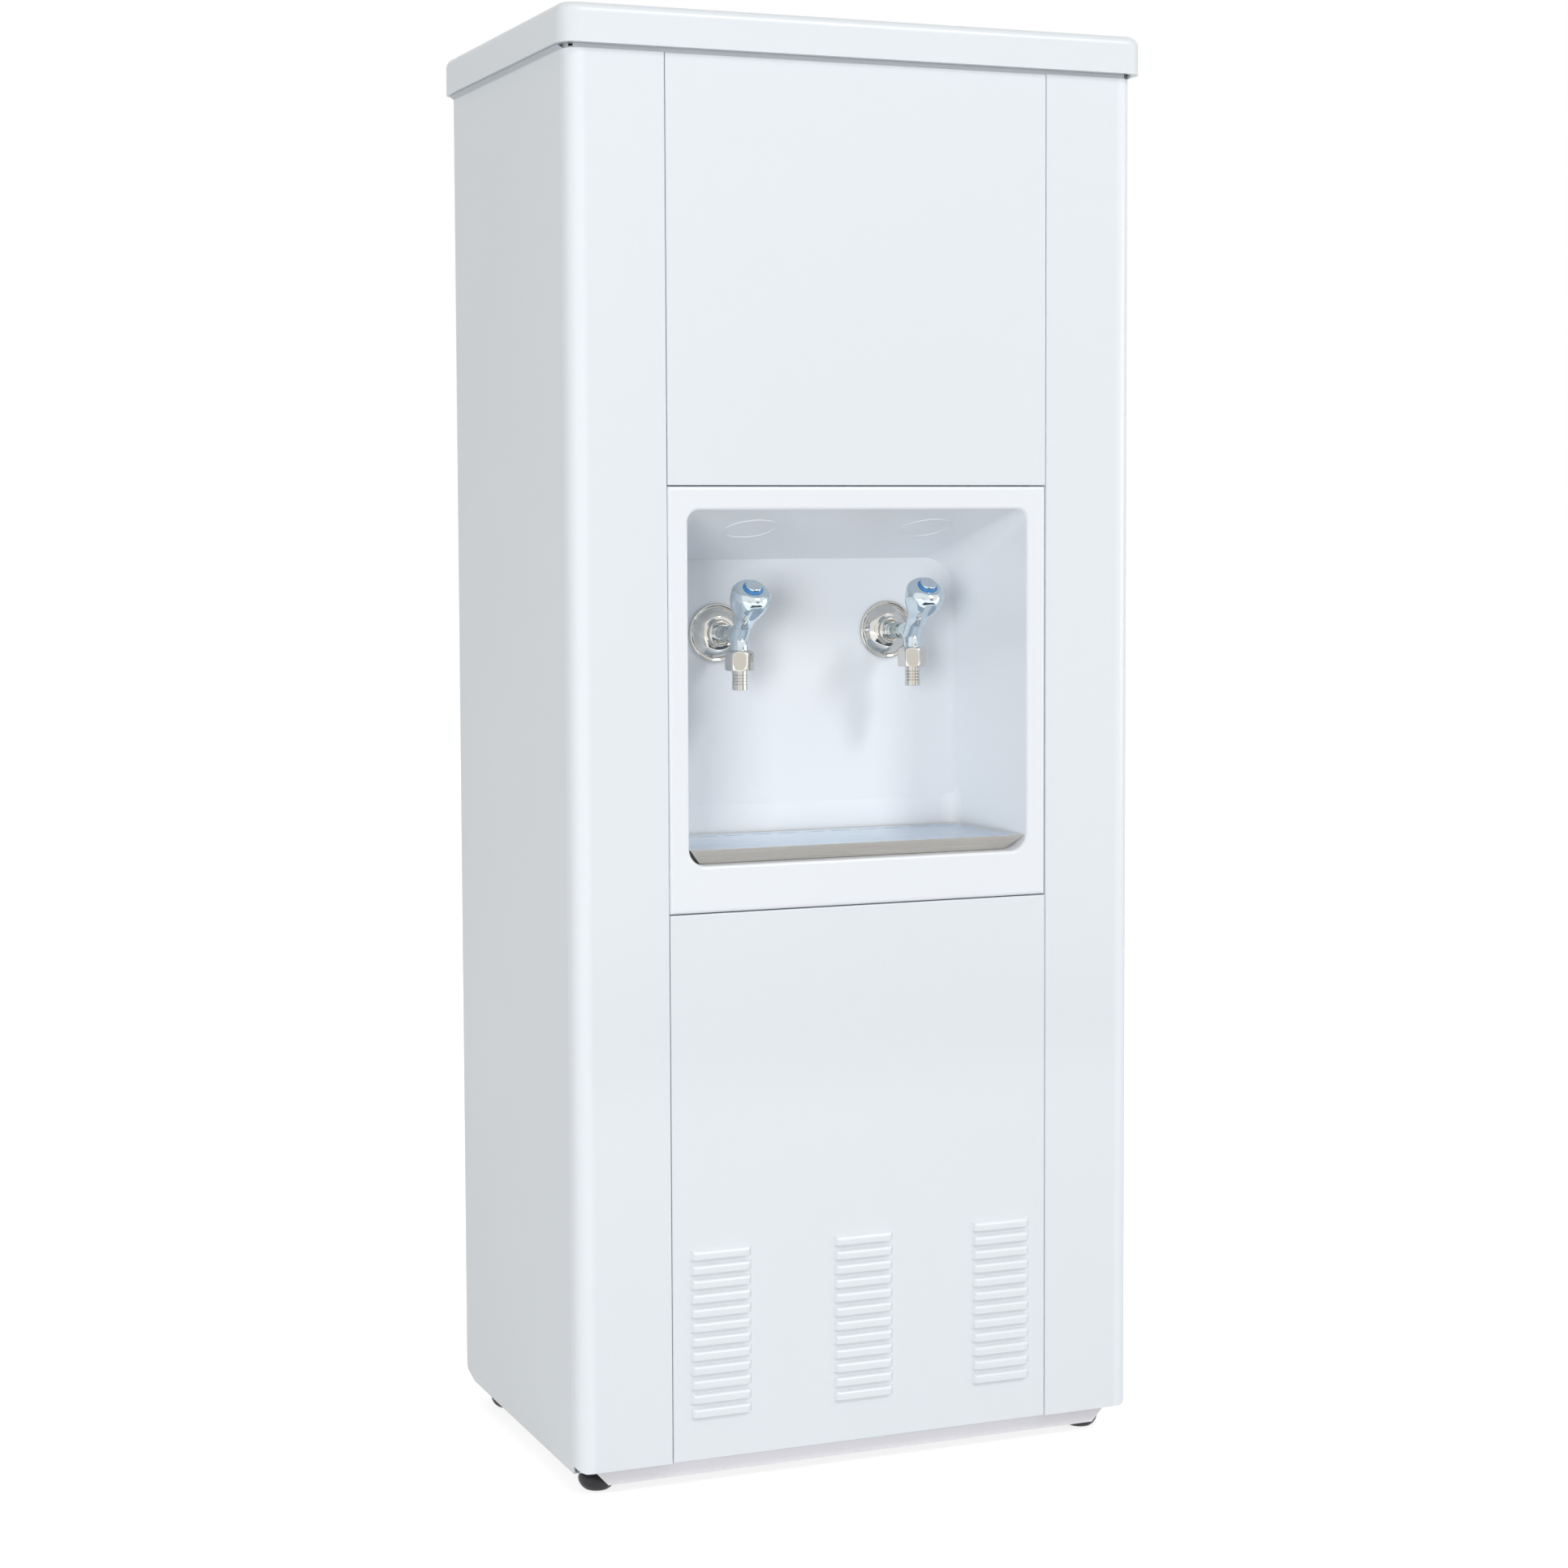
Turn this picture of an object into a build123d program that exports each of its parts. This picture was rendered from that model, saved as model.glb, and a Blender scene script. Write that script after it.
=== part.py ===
from build123d import *
import math
import os

# Storage water cooler: a tall sheet-steel cabinet with a cold-water tank in its upper half, a tap
# recess with two taps and a drip tray, and the refrigeration unit behind the louvred lower panel.
# Millimetres, +Z up, +X to the right of someone facing the taps, which look along -Y.
# The origin is at the bottom centre of the whole cooler.

# Overall sizes
cabinet_width = 525.0
cabinet_depth = 334.0
overall_height = 1250.0
lid_height = 33.0
lid_overhang = 7.5
rear_fitting_reach = 16.0
rear_flange_thickness = 2.6

# Clearances
seat = 0.1
moving_clearance = 0.3
running_clearance = 0.05

# Casing
sheet = 1.2
bend_radius = 1.0
front_corner_radius = 13.0
rear_corner_radius = 4.0
pillar_width = 85.0
seam_gap = 0.8
pan_depth = 14.0
ledge_width = 9.0
rear_flange_width = 24.0
top_flange_width = 12.0
side_bottom_z = 20.0
front_bottom_z = 25.0
corner_lift = 5.0
side_bevel_height = 8.3
side_bevel_run = 3.0
side_hem_width = 8.0
side_front_clip_run = 7.0
rear_clip_height = 15.0
rear_clip_run = 17.5
side_flare = 4.5
lid_shadow_gap = 3.5
lid_wall = 3.0
lid_corner_radius = 16.0
lid_edge_radius = 8.5
lid_return_width = 3.0
neck_inset = 1.8
neck_wall = 2.0
neck_flange_width = 12.0
neck_rise = 4.0

# Base
base_sheet = 1.5
apron_setback = 12.0
apron_bottom_z = 9.5
apron_top_inset = 16.5
apron_bottom_inset = 31.0
base_wall_height = 19.0

# Levelling feet
foot_side_inset = 29.5
foot_end_inset = 39.0
foot_radius = 16.0
foot_tip_radius = 11.0
foot_widest_z = 9.0
foot_shoulder_z = 16.0
foot_shoulder_radius = 12.0
foot_collar_radius = 9.0
foot_stud_radius = 4.0
foot_stud_top = 48.0
foot_hole_radius = 5.2
foot_nut_flats = 13.0
foot_nut_height = 6.5

# Louvres of the lower panel and the air slots of the back panel
louvre_length = 55.0
louvre_pitch = 12.4
louvre_rows = 12
louvre_first_z = 67.0
louvre_column_inset = 44.5
louvre_height = 8.2
louvre_stand_out = 3.4
louvre_end_slope = 5.0
louvre_sheet = 0.9
rear_slot_height = 5.0

# Screws of the back panel
screw_radius = 2.0
screw_head_radius = 4.0
screw_head_height = 2.2
screw_slot_length = 6.0
screw_slot_width = 0.8
screw_slot_depth = 0.75
screw_margin = 14.0
screw_rows = 4
lowest_screw_margin = 55.0
highest_screw_margin = 9.5

# Tap recess
recess_bottom_share = 0.39576
recess_height = 361.0
recess_depth = 133.0
recess_wall = 3.0
rim_side_width = 18.5
rim_top_width = 19.7
rim_bottom_width = 40.3
recess_side_taper = 8.0
ceiling_drop = 44.0
opening_top_radius = 8.0
opening_bottom_radius = 15.0
recess_back_radius = 30.0
recess_kink_rise = 38.0
recess_kink_run = 6.5
recess_cove_radius = 14.0
rim_roll_radius = 3.0
rim_border_radius = 3.0
ring_mark_radius = 24.0
ring_mark_width = 1.6
ring_mark_height = 0.6
ring_mark_depth = 50.0
drain_hole_radius = 9.0
drain_spigot_length = 22.0
drain_spigot_depth = 96.0

# Taps
tap_spacing = 166.0
tap_rise = 192.0
spout_reach = 57.0
barrel_radius = 7.8
barrel_bore = 5.0
elbow_radius = 13.0
shank_radius = 8.0
shank_barb_radius = 6.0
shank_thread_length = 12.0
shank_barb_length = 16.0
head_angle = 52.0
rosette_radius = 26.5
rosette_bead_width = 3.6
rosette_bead_height = 3.2
rosette_valley_height = 2.2
rosette_rise = 9.6
rosette_hub_radius = 12.0
rosette_hub_height = 3.0
bonnet_radius = 6.2
bonnet_length = 16.0
spindle_radius = 3.0
handle_start = 12.0
handle_length = 40.0
handle_neck_radius = 8.8
handle_radius = 18.0
handle_face_radius = 13.0
handle_widest = 29.0
handle_flutes = 6
flute_radius = 14.0
flute_depth = 1.4
flute_top = 31.0
button_rise = 4.0
button_dome = 0.5
index_outer_radius = 9.2
index_inner_radius = 7.4
index_thickness = 1.2
index_rise = 2.8
index_top_radius = 7.9
back_nut_flats = 27.0
back_nut_height = 6.0
union_flats = 23.0
union_height = 18.0
union_drop = 31.2
union_turn = 37.0
union_shoulder = 6.0
union_shoulder_radius = 9.4
union_lip = 1.5
tail_length = 17.0
tail_radius = 6.9
tail_bore = 4.0
tail_land_length = 4.5
tail_grooves = 4
tail_groove_pitch = 2.6
tail_groove_width = 1.4
tail_groove_depth = 0.7
tail_collar_height = 2.2

# Drip tray
tray_front_depth = 2.5
tray_length = 122.5
tray_height = 13.2
tray_front_margin = 1.5
tray_rear_margin = 4.0
tray_sheet = 0.8
tray_rim_drop = 0.4
cover_sheet = 0.8
cover_slots = 11
cover_slot_length = 18.0
cover_slot_width = 2.0
cover_slot_inset = 7.0
cover_leg_radius = 4.0

# Tank and its insulation
shelf_rise = 14.3
shelf_sheet = 1.5
shelf_flange = 14.0
foam_thickness = 32.0
foam_side_gap = 2.0
foam_top_drop = 27.5
coil_gap = 10.5
tank_wall = 1.2
tank_corner_radius = 30.0
tank_bottom_radius = 10.0
tank_flange_lap = 12.0
coil_radius = 4.0
coil_turns = 7
coil_bottom_margin = 14.3
coil_top_margin = 87.3
coil_exit_x = -150.0
chase_width = 18.0
chase_depth = 20.0
outlet_depth = 195.0
outlet_radius = 6.0
outlet_length = 22.0
hose_wall = 3.0
hose_bend = 26.0

# Float valve
valve_x = 120.0
valve_drop = 57.3
valve_shank_radius = 7.0
valve_body_radius = 11.0
valve_body_length = 26.0
valve_fork_length = 16.0
valve_fork_gap = 7.0
float_front_margin = 48.5
float_arm_radius = 2.5
float_pin_radius = 2.0
float_eye_radius = 5.0
float_ball_radius = 38.0
float_socket_depth = 6.0
float_drop_angle = 45.0

# Rear fittings
inlet_drop = 50.0
inlet_thread_radius = 10.4775
inlet_bore = 6.0
inlet_hex_flats = 26.0
inlet_hex_height = 7.0
inlet_neck_radius = 9.4
inlet_flange_radius = 15.0
inlet_pipe_radius = 6.0
drain_drop = 95.0
drain_x = 60.0
drain_spigot_radius = 8.0
drain_neck_radius = 7.4
drain_flange_radius = 13.0
drain_flange_thickness = 4.0
drain_tail_length = 16.0
drain_hose_slant = 80.0
gland_x = -40.0
gland_z = 300.0
gland_flats = 24.0
gland_bore = 4.0
gland_cap_height = 12.0
gland_nut_height = 6.0
gland_inner_length = 10.0
thermostat_x = 150.0
thermostat_z = 400.0
thermostat_width = 44.0
thermostat_depth = 32.0
thermostat_height = 48.0
thermostat_bore = 20.0
knob_radius = 16.0
knob_height = 12.0
knob_ribs = 18
knob_groove_radius = 1.1
knob_pointer_width = 2.4
knob_pointer_rise = 1.0
knob_pointer_start = 3.0
knob_pointer_margin = 2.0
knob_shaft_margin = 2.0
terminal_z = 390.0
terminal_width = 80.0
terminal_depth = 45.0
terminal_height = 70.0
terminal_corner_radius = 4.0

# Refrigeration unit
compressor_x = -110.0
compressor_rear_inset = 88.0
compressor_radius = 62.0
compressor_height = 168.0
compressor_seam_radius = 66.0
compressor_plate_size = 150.0
compressor_plate_sheet = 3.0
compressor_plate_radius = 12.0
compressor_plate_hole_margin = 2.0
terminal_cover_depth = 26.0
terminal_cover_width = 52.0
terminal_cover_low_z = 90.0
terminal_cover_height = 60.0
terminal_cover_radius = 5.0
compressor_bolt_spacing = 116.0
bolt_radius = 3.0
grommet_height = 13.0
grommet_radius = 11.0
condenser_left_x = -40.0
condenser_right_x = 180.0
condenser_front_depth = 38.0
condenser_thickness = 40.0
condenser_height = 212.0
fin_foot_height = 8.0
end_plate_sheet = 2.0
end_plate_lip = 2.0
end_plate_rise = 4.0
tube_end_margin = 6.0
tube_stub = 8.0
fin_count = 30
fin_sheet = 0.6
tube_radius = 4.5
tube_passes = 8
tube_pitch = 24.0
fan_z = 146.0
fan_radius = 92.0
fan_opening_radius = 97.0
fan_blades_count = 5
fan_hub_radius = 24.0
fan_hub_length = 22.0
fan_blade_chord = 46.0
fan_blade_pitch = 28.0
fan_blade_sheet = 1.6
fan_shaft_radius = 3.0
motor_radius = 38.0
motor_length = 48.0
collar_depth = 34.0
spider_bar = 10.0
spider_sheet = 3.0
spider_ring_width = 8.0
spider_ring_inset = 2.0
fan_collar_wall = 2.0
fan_gap = 4.0
fan_shaft_reach = 22.0
fan_shaft_bore = 24.0
fan_hub_fillet = 4.0
fan_blade_fillet = 12.0
fan_blade_root = 8.0
motor_fillet = 5.0
drier_radius = 9.0
drier_length = 80.0
drier_neck_length = 8.0
drier_cone_length = 8.0
drier_neck_wall = 0.6
drier_loop_drop = 34.0
drier_loop_reach = 24.0
drier_loop_rise = 14.0
drier_offset = 30.0
drier_z = 300.0
capillary_radius = 1.5
refrigerant_pipe_radius = 4.0
shell_pipe_offset = 10.0
liquid_pipe_offset = 20.0
discharge_rise = 50.0
suction_rise = 90.0
capillary_rise = 40.0

# Places worked out from the sizes above
half_width = cabinet_width / 2
overall_depth = lid_overhang + cabinet_depth + rear_fitting_reach
front_y = -overall_depth / 2 + lid_overhang
rear_y = front_y + cabinet_depth
seam_x = half_width - pillar_width
lid_bottom_z = overall_height - lid_height
panel_top_z = lid_bottom_z - lid_shadow_gap
neck_top_z = lid_bottom_z + neck_rise
side_bevel_top_z = side_bottom_z + side_bevel_height
side_fold_y = front_y + front_corner_radius + sheet
apron_half_top = half_width - apron_top_inset
apron_half_bottom = half_width - apron_bottom_inset
louvre_column_offset = seam_x - louvre_column_inset
recess_bottom_z = overall_height * recess_bottom_share
recess_top_z = recess_bottom_z + recess_height
recess_floor_z = recess_bottom_z + rim_bottom_width
recess_kink_z = recess_floor_z + recess_kink_rise
opening_top_z = recess_top_z - rim_top_width
opening_half_width = seam_x - rim_side_width
recess_back_half_width = opening_half_width - recess_side_taper
recess_back_top_z = opening_top_z - ceiling_drop
recess_back_y = front_y + recess_depth
recess_rear_y = recess_back_y + recess_wall
tap_x = tap_spacing / 2
tap_z = recess_floor_z + tap_rise
spout_y = recess_back_y - spout_reach
head_boss_length = handle_start - moving_clearance
button_radius = index_inner_radius - seat
union_bottom_z = tap_z - union_drop
tail_collar_z = union_bottom_z + union_lip + seat
spout_end_z = tail_collar_z + tail_collar_height + 2 * seat
base_floor_z = side_bevel_top_z + seat
base_top_z = base_floor_z + base_sheet
back_panel_y = rear_y + seat
back_outer_y = back_panel_y + sheet
rear_spigot_y = back_outer_y + seat + rear_flange_thickness
back_bottom_z = side_bottom_z + rear_clip_height
back_top_z = panel_top_z - rear_corner_radius
foam_half_x = half_width - sheet - foam_side_gap
foam_front_y = front_y + pan_depth + sheet + seat + foam_side_gap
foam_rear_y = rear_y - foam_side_gap
shelf_z = recess_top_z + shelf_rise
foam_bottom_z = shelf_z + shelf_sheet + seat
foam_top_z = panel_top_z - foam_top_drop
tank_half_x = foam_half_x - foam_thickness - coil_gap
tank_front_y = foam_front_y + foam_thickness + coil_gap
tank_rear_y = foam_rear_y - foam_thickness - coil_gap
tank_bottom_z = foam_bottom_z + foam_thickness + seat
tank_top_z = foam_top_z + seat + tank_wall
valve_z = tank_top_z - valve_drop
inlet_z = shelf_z - inlet_drop
drain_z = recess_floor_z - drain_drop
chase_y = foam_rear_y - chase_depth / 2
outlet_y = front_y + outlet_depth
tray_bottom_z = recess_floor_z + moving_clearance
tray_top_z = tray_bottom_z + tray_height
tray_front_y = front_y + tray_front_depth
tray_front_half_width = opening_half_width - tray_front_margin
tray_rear_half_width = recess_back_half_width - tray_rear_margin
foot_x = half_width - foot_side_inset
foot_front_y = front_y + foot_end_inset
foot_rear_y = rear_y - foot_end_inset
compressor_y = rear_y - compressor_rear_inset
compressor_plate_z = base_top_z + grommet_height
compressor_low_z = compressor_plate_z + compressor_plate_sheet + 2 * seat
condenser_front_y = front_y + condenser_front_depth
condenser_rear_y = condenser_front_y + condenser_thickness
condenser_mid_y = (condenser_front_y + condenser_rear_y) / 2
condenser_x = (condenser_left_x + condenser_right_x) / 2
shroud_y = condenser_rear_y + seat
fin_low_z = base_top_z + seat + fin_foot_height
shroud_top_z = base_top_z + fin_foot_height + condenser_height + end_plate_rise
rear_reach_y = rear_y + rear_fitting_reach
inner_rear_y = rear_y - rear_corner_radius
coil_offset = coil_radius + moving_clearance
coil_low_x = -(tank_half_x + coil_offset)
coil_low_y = outlet_y
coil_first_z = tank_bottom_z + coil_bottom_margin
coil_exit_z = tank_top_z - coil_top_margin
coil_pitch = (coil_exit_z - coil_first_z) / coil_turns
pivot_y = tank_rear_y - tank_wall - valve_body_length - valve_fork_length / 2
float_arm_length = pivot_y - tank_front_y - float_ball_radius - float_front_margin
float_socket_start = float_arm_length - float_ball_radius + float_socket_depth
motor_front_y = shroud_y + collar_depth + seat
drier_x = condenser_left_x - drier_offset
head_direction = (0, -math.cos(math.radians(head_angle)), math.sin(math.radians(head_angle)))


# Helpers


def block(x_range, y_range, z_range):
    """A box between its lowest and highest corners."""
    size = [high - low for low, high in (x_range, y_range, z_range)]
    centre = [(high + low) / 2 for low, high in (x_range, y_range, z_range)]
    return Pos(*centre) * Box(*size)


def rod(start, end, radius):
    """A round bar from one point to another."""
    axis = Vector(*end) - Vector(*start)
    plane = Plane(origin=start, z_dir=axis)
    return extrude(plane * Circle(radius), axis.length)


def hexagon(start, end, flats, turn=0.0):
    """A hexagonal bar from one point to another, measured across its flats and turned by an angle."""
    axis = Vector(*end) - Vector(*start)
    plane = Plane(origin=start, z_dir=axis)
    return extrude(plane * RegularPolygon(flats / 2, 6, major_radius=False, rotation=turn), axis.length)


def turned(profile, origin=(0, 0, 0), direction=(0, 0, 1)):
    """A turned piece: (distance along the axis, radius) points spun about the axis."""
    outline = [(radius, along) for along, radius in profile]
    face = make_face(Polyline(*outline, close=True))
    solid = revolve(Plane.XZ * face, Axis.Z)
    return Plane(origin=origin, z_dir=direction).location * solid


def pipe(points, bend, outer, inner=0.0):
    """A round pipe along straight runs joined by bends of one radius."""
    path = FilletPolyline(*points, radius=bend)
    start = Plane(origin=path @ 0, z_dir=path % 0)
    solid = sweep(start * Circle(outer), path=path)
    if inner > 0:
        solid -= sweep(start * Circle(inner), path=path)
    return solid


def outer_edges(solid, axis, x_values=(), y_values=(), z_values=()):
    """Edges parallel to an axis whose middles lie at one of the given places."""
    def near(value, wanted):
        return not wanted or min(abs(value - place) for place in wanted) < seat / 2
    found = []
    for edge in solid.edges().filter_by(axis):
        middle = edge.center()
        if near(middle.X, x_values) and near(middle.Y, y_values) and near(middle.Z, z_values):
            found.append(edge)
    return found


def mirrored(solid):
    """The same piece on the other side of the cooler."""
    return mirror(solid, about=Plane.YZ)


def both_sides(solid):
    """A left and a right copy in one group."""
    return group([solid, mirrored(solid)])


def group(solids):
    """Separate solids kept as one group."""
    return Compound(children=[solid for piece in solids for solid in piece.solids()])


def save(name, shape):
    """Write one sub-part to its STEP file."""
    export_step(shape, "parts/" + name + ".step")


# Casing


def casing_column(inset):
    """The cabinet's plan as one tall column, drawn in by a distance."""
    column = block(
        (-half_width + inset, half_width - inset),
        (front_y + inset, rear_y - inset),
        (side_bottom_z, panel_top_z),
    )
    front = outer_edges(column, Axis.Z, y_values=(front_y + inset,))
    column = fillet(front, front_corner_radius - inset)
    rear = outer_edges(column, Axis.Z, y_values=(rear_y - inset,))
    return fillet(rear, rear_corner_radius - inset)


def side_panel():
    """The left side: one sheet with the side, the rounded corner, the front pillar and its flanges."""
    shell = casing_column(0) - casing_column(sheet)
    middle_y = (front_y + rear_y) / 2
    heights = (side_bottom_z, panel_top_z)
    front_part = block((-half_width, -seam_x), (front_y, middle_y), heights)
    rear_part = block((-half_width, -half_width + rear_flange_width), (middle_y, rear_y), heights)
    panel = shell & (front_part + rear_part)
    seam_flange = block(
        (-seam_x - sheet, -seam_x), (front_y, front_y + pan_depth + seat), (side_bottom_z, panel_top_z)
    )
    ledge = block(
        (-seam_x - sheet, -seam_x + ledge_width),
        (front_y + pan_depth + seat, front_y + pan_depth + seat + sheet),
        (side_bottom_z, panel_top_z),
    )
    panel += seam_flange
    panel += ledge
    panel = fillet(outer_edges(panel, Axis.Z, x_values=(-seam_x,), y_values=(front_y,)), bend_radius)
    # The front ends a little above the side
    panel -= block(
        (-half_width, -seam_x + ledge_width),
        (front_y, front_y + pan_depth + 2 * sheet),
        (side_bottom_z, front_bottom_z),
    )
    panel -= base_notch()
    panel -= corner_rise()
    # The side's lower edge is folded inwards, and then under
    fold_end_y = rear_y - rear_corner_radius
    flange_reach = (-half_width, -half_width + rear_flange_width)
    panel -= block(flange_reach, (side_fold_y, rear_y), (side_bottom_z, side_bevel_top_z))
    outline = Polyline(
        (-half_width, side_bevel_top_z),
        (-half_width + sheet, side_bevel_top_z),
        (-half_width + sheet + side_bevel_run, side_bottom_z + sheet),
        (-half_width + side_bevel_run + side_hem_width, side_bottom_z + sheet),
        (-half_width + side_bevel_run + side_hem_width, side_bottom_z),
        (-half_width + side_bevel_run, side_bottom_z),
        close=True,
    )
    fold = extrude(Plane.XZ.offset(-side_fold_y) * make_face(outline), -(fold_end_y - side_fold_y))
    panel += fold
    top_flange = block(
        (-half_width + sheet / 2, -half_width + sheet + top_flange_width),
        (front_y + front_corner_radius, rear_y - rear_corner_radius),
        (panel_top_z - sheet, panel_top_z),
    )
    panel += top_flange
    panel += side_flare_strip()
    panel -= lower_corner_clip(side_fold_y, side_front_clip_run, side_bevel_height)
    return panel - lower_corner_clip(rear_y, -rear_clip_run, rear_clip_height)


def side_flare_strip():
    """The strip above a side's top fold, which slopes outwards until it almost meets the lid."""
    flare_top_z = lid_bottom_z - moving_clearance
    slope = math.atan2(flare_top_z - panel_top_z, side_flare)
    level_width = sheet / math.sin(slope)
    outline = Polyline(
        (-half_width, panel_top_z),
        (-half_width - side_flare, flare_top_z),
        (-half_width - side_flare + level_width, flare_top_z),
        (-half_width + level_width, panel_top_z),
        (-half_width + level_width, panel_top_z - sheet / 2),
        (-half_width, panel_top_z - sheet / 2),
        close=True,
    )
    start_y = front_y + front_corner_radius
    length = cabinet_depth - front_corner_radius - rear_corner_radius
    return extrude(Plane.XZ.offset(-start_y) * make_face(outline), -length)


def corner_rise():
    """What is cut away below a rounded front corner, so that its lower edge rises towards the side."""
    start = (-half_width + front_corner_radius, front_bottom_z)
    middle = (-half_width + front_corner_radius / 3, front_bottom_z + corner_lift / 4)
    end = (-half_width, front_bottom_z + corner_lift)
    outline = ThreePointArc(start, middle, end) + Polyline(end, (-half_width, side_bottom_z), start)
    return extrude(Plane.XZ.offset(-front_y) * make_face(outline), -(front_corner_radius + sheet))


def base_notch():
    """The room that the front panels' returns and flanges leave for the base's apron and floor."""
    reach = apron_half_top + moving_clearance
    return block(
        (-reach, reach),
        (front_y + apron_setback - seat, front_y + pan_depth + 2 * sheet),
        (front_bottom_z - 1, base_top_z + seat),
    )


def lower_corner_clip(y, run, height):
    """The slanting cut across a lower corner of the left side panel, from its end at y."""
    outline = Polyline((y, side_bottom_z), (y + run, side_bottom_z), (y, side_bottom_z + height), close=True)
    return extrude(Plane.YZ.offset(-half_width - sheet) * make_face(outline), rear_flange_width + 2 * sheet)


def front_pan(bottom_z, top_z):
    """A front panel: a sheet with rounded edges and returns on all four sides."""
    half = seam_x - seam_gap
    outer = block((-half, half), (front_y, front_y + pan_depth), (bottom_z, top_z))
    outer = fillet(outer.faces().sort_by(Axis.Y)[0].edges(), bend_radius)
    inner = block(
        (-half + sheet, half - sheet),
        (front_y + sheet, front_y + pan_depth),
        (bottom_z + sheet, top_z - sheet),
    )
    return outer - inner


def louvre_places():
    """The middle of each louvre, as (x, z)."""
    for column in (-1, 0, 1):
        for row in range(louvre_rows):
            yield column * louvre_column_offset, louvre_first_z + row * louvre_pitch


def louvre_wedge(inset):
    """The rounded hood of one louvre, drawn in by a distance: low at its top, open at its foot."""
    top = louvre_height / 2 - inset
    foot = -louvre_height / 2
    reach = louvre_stand_out - inset
    curve = ThreePointArc((0, top), (-reach * 0.74, top * 0.38), (-reach, foot))
    outline = curve + Polyline((-reach, foot), (sheet, foot), (sheet, top), (0, top))
    half = louvre_length / 2 - inset
    hood = extrude(Plane.YZ.offset(-half) * make_face(outline), 2 * half)
    left_end = ThreePointArc(
        (-half, 0), (-half + louvre_end_slope * 0.3, -reach * 0.62), (-half + louvre_end_slope, -reach)
    )
    right_end = mirror(left_end, about=Plane.YZ)
    lip = Line(left_end @ 1, right_end @ 1)
    back = Polyline(left_end @ 0, (-half, sheet), (half, sheet), right_end @ 0)
    plan = make_face(left_end + lip + right_end + back)
    return hood & extrude(Plane.XY.offset(-louvre_height) * plan, 2 * louvre_height)


def lower_front_panel():
    """The lower panel, with each louvre cut free below and pressed outwards."""
    panel = front_pan(front_bottom_z, recess_bottom_z - seam_gap / 2)
    outer = louvre_wedge(0)
    inner = louvre_wedge(louvre_sheet)
    places = [Pos(x, front_y, z) for x, z in louvre_places()]
    panel -= [place * outer for place in places]
    panel += [place * (outer - inner) for place in places]
    return panel - base_notch()


def upper_front_panel():
    """The plain panel above the taps."""
    return front_pan(recess_top_z + seam_gap / 2, panel_top_z)


def back_panel():
    """The flat back, with air slots and the holes for the rear fittings."""
    panel_half = half_width - rear_corner_radius
    panel = block((-panel_half, panel_half), (back_panel_y, back_outer_y), (back_bottom_z, back_top_z))
    through = (back_panel_y - sheet, back_outer_y + sheet)
    half_slot = louvre_length / 2
    slot = block((-half_slot, half_slot), through, (-rear_slot_height / 2, rear_slot_height / 2))
    panel -= [Pos(x, 0, z) * slot for x, z in louvre_places()]
    for x, z, radius in (
        (valve_x, inlet_z, inlet_neck_radius + seat),
        (drain_x, drain_z, drain_neck_radius + seat),
        (gland_x, gland_z, gland_flats / 3 + seat),
        (thermostat_x, thermostat_z, spindle_radius + 1),
    ):
        panel -= rod((x, through[0], z), (x, through[1], z), radius)
    for x, z in panel_screw_places():
        panel -= rod((x, through[0], z), (x, through[1], z), screw_radius + seat)
    return panel


def panel_screw_places():
    """The screws along both sides of the back panel, as (x, z)."""
    low = back_bottom_z + lowest_screw_margin
    pitch = (back_top_z - highest_screw_margin - low) / (screw_rows - 1)
    for side in (-1, 1):
        for row in range(screw_rows):
            yield side * (half_width - screw_margin), low + row * pitch


def panel_screws():
    """Pan-head screws that hold the back panel to the side panels' rear flanges."""
    screws = []
    head_y = back_outer_y + seat
    for x, z in panel_screw_places():
        head = rod((x, head_y, z), (x, head_y + screw_head_height, z), screw_head_radius)
        head = fillet(head.edges().sort_by(Axis.Y)[-1], screw_head_height / 2)
        shank = rod((x, rear_y - 3 * sheet, z), (x, head_y, z), screw_radius)
        slot = block(
            (x - screw_slot_length / 2, x + screw_slot_length / 2),
            (head_y + screw_head_height - screw_slot_depth, head_y + 2 * screw_head_height),
            (z - screw_slot_width / 2, z + screw_slot_width / 2),
        )
        screws.append(head + shank - slot)
    return group(screws)


def screwed_side_panel():
    """The left side panel with its screw holes."""
    panel = side_panel()
    for x, z in panel_screw_places():
        if x < 0:
            panel -= rod((x, rear_y - 3 * sheet, z), (x, rear_y + sheet, z), screw_radius + seat)
    return panel


def top_frame():
    """The angle frame round the cabinet's mouth, which carries the lid."""
    heights = (panel_top_z + seat, neck_top_z)
    outer = block(
        (-half_width + neck_inset, half_width - neck_inset),
        (front_y + neck_inset, rear_y - neck_inset),
        heights,
    )
    outer = fillet(outer.edges().filter_by(Axis.Z), front_corner_radius - neck_inset)
    wall = neck_inset + neck_wall
    above = block(
        (-half_width + wall, half_width - wall),
        (front_y + wall, rear_y - wall),
        (panel_top_z + seat + sheet, neck_top_z),
    )
    hole = neck_inset + neck_wall + neck_flange_width
    mouth = block((-half_width + hole, half_width - hole), (front_y + hole, rear_y - hole), heights)
    return outer - above - mouth


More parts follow.
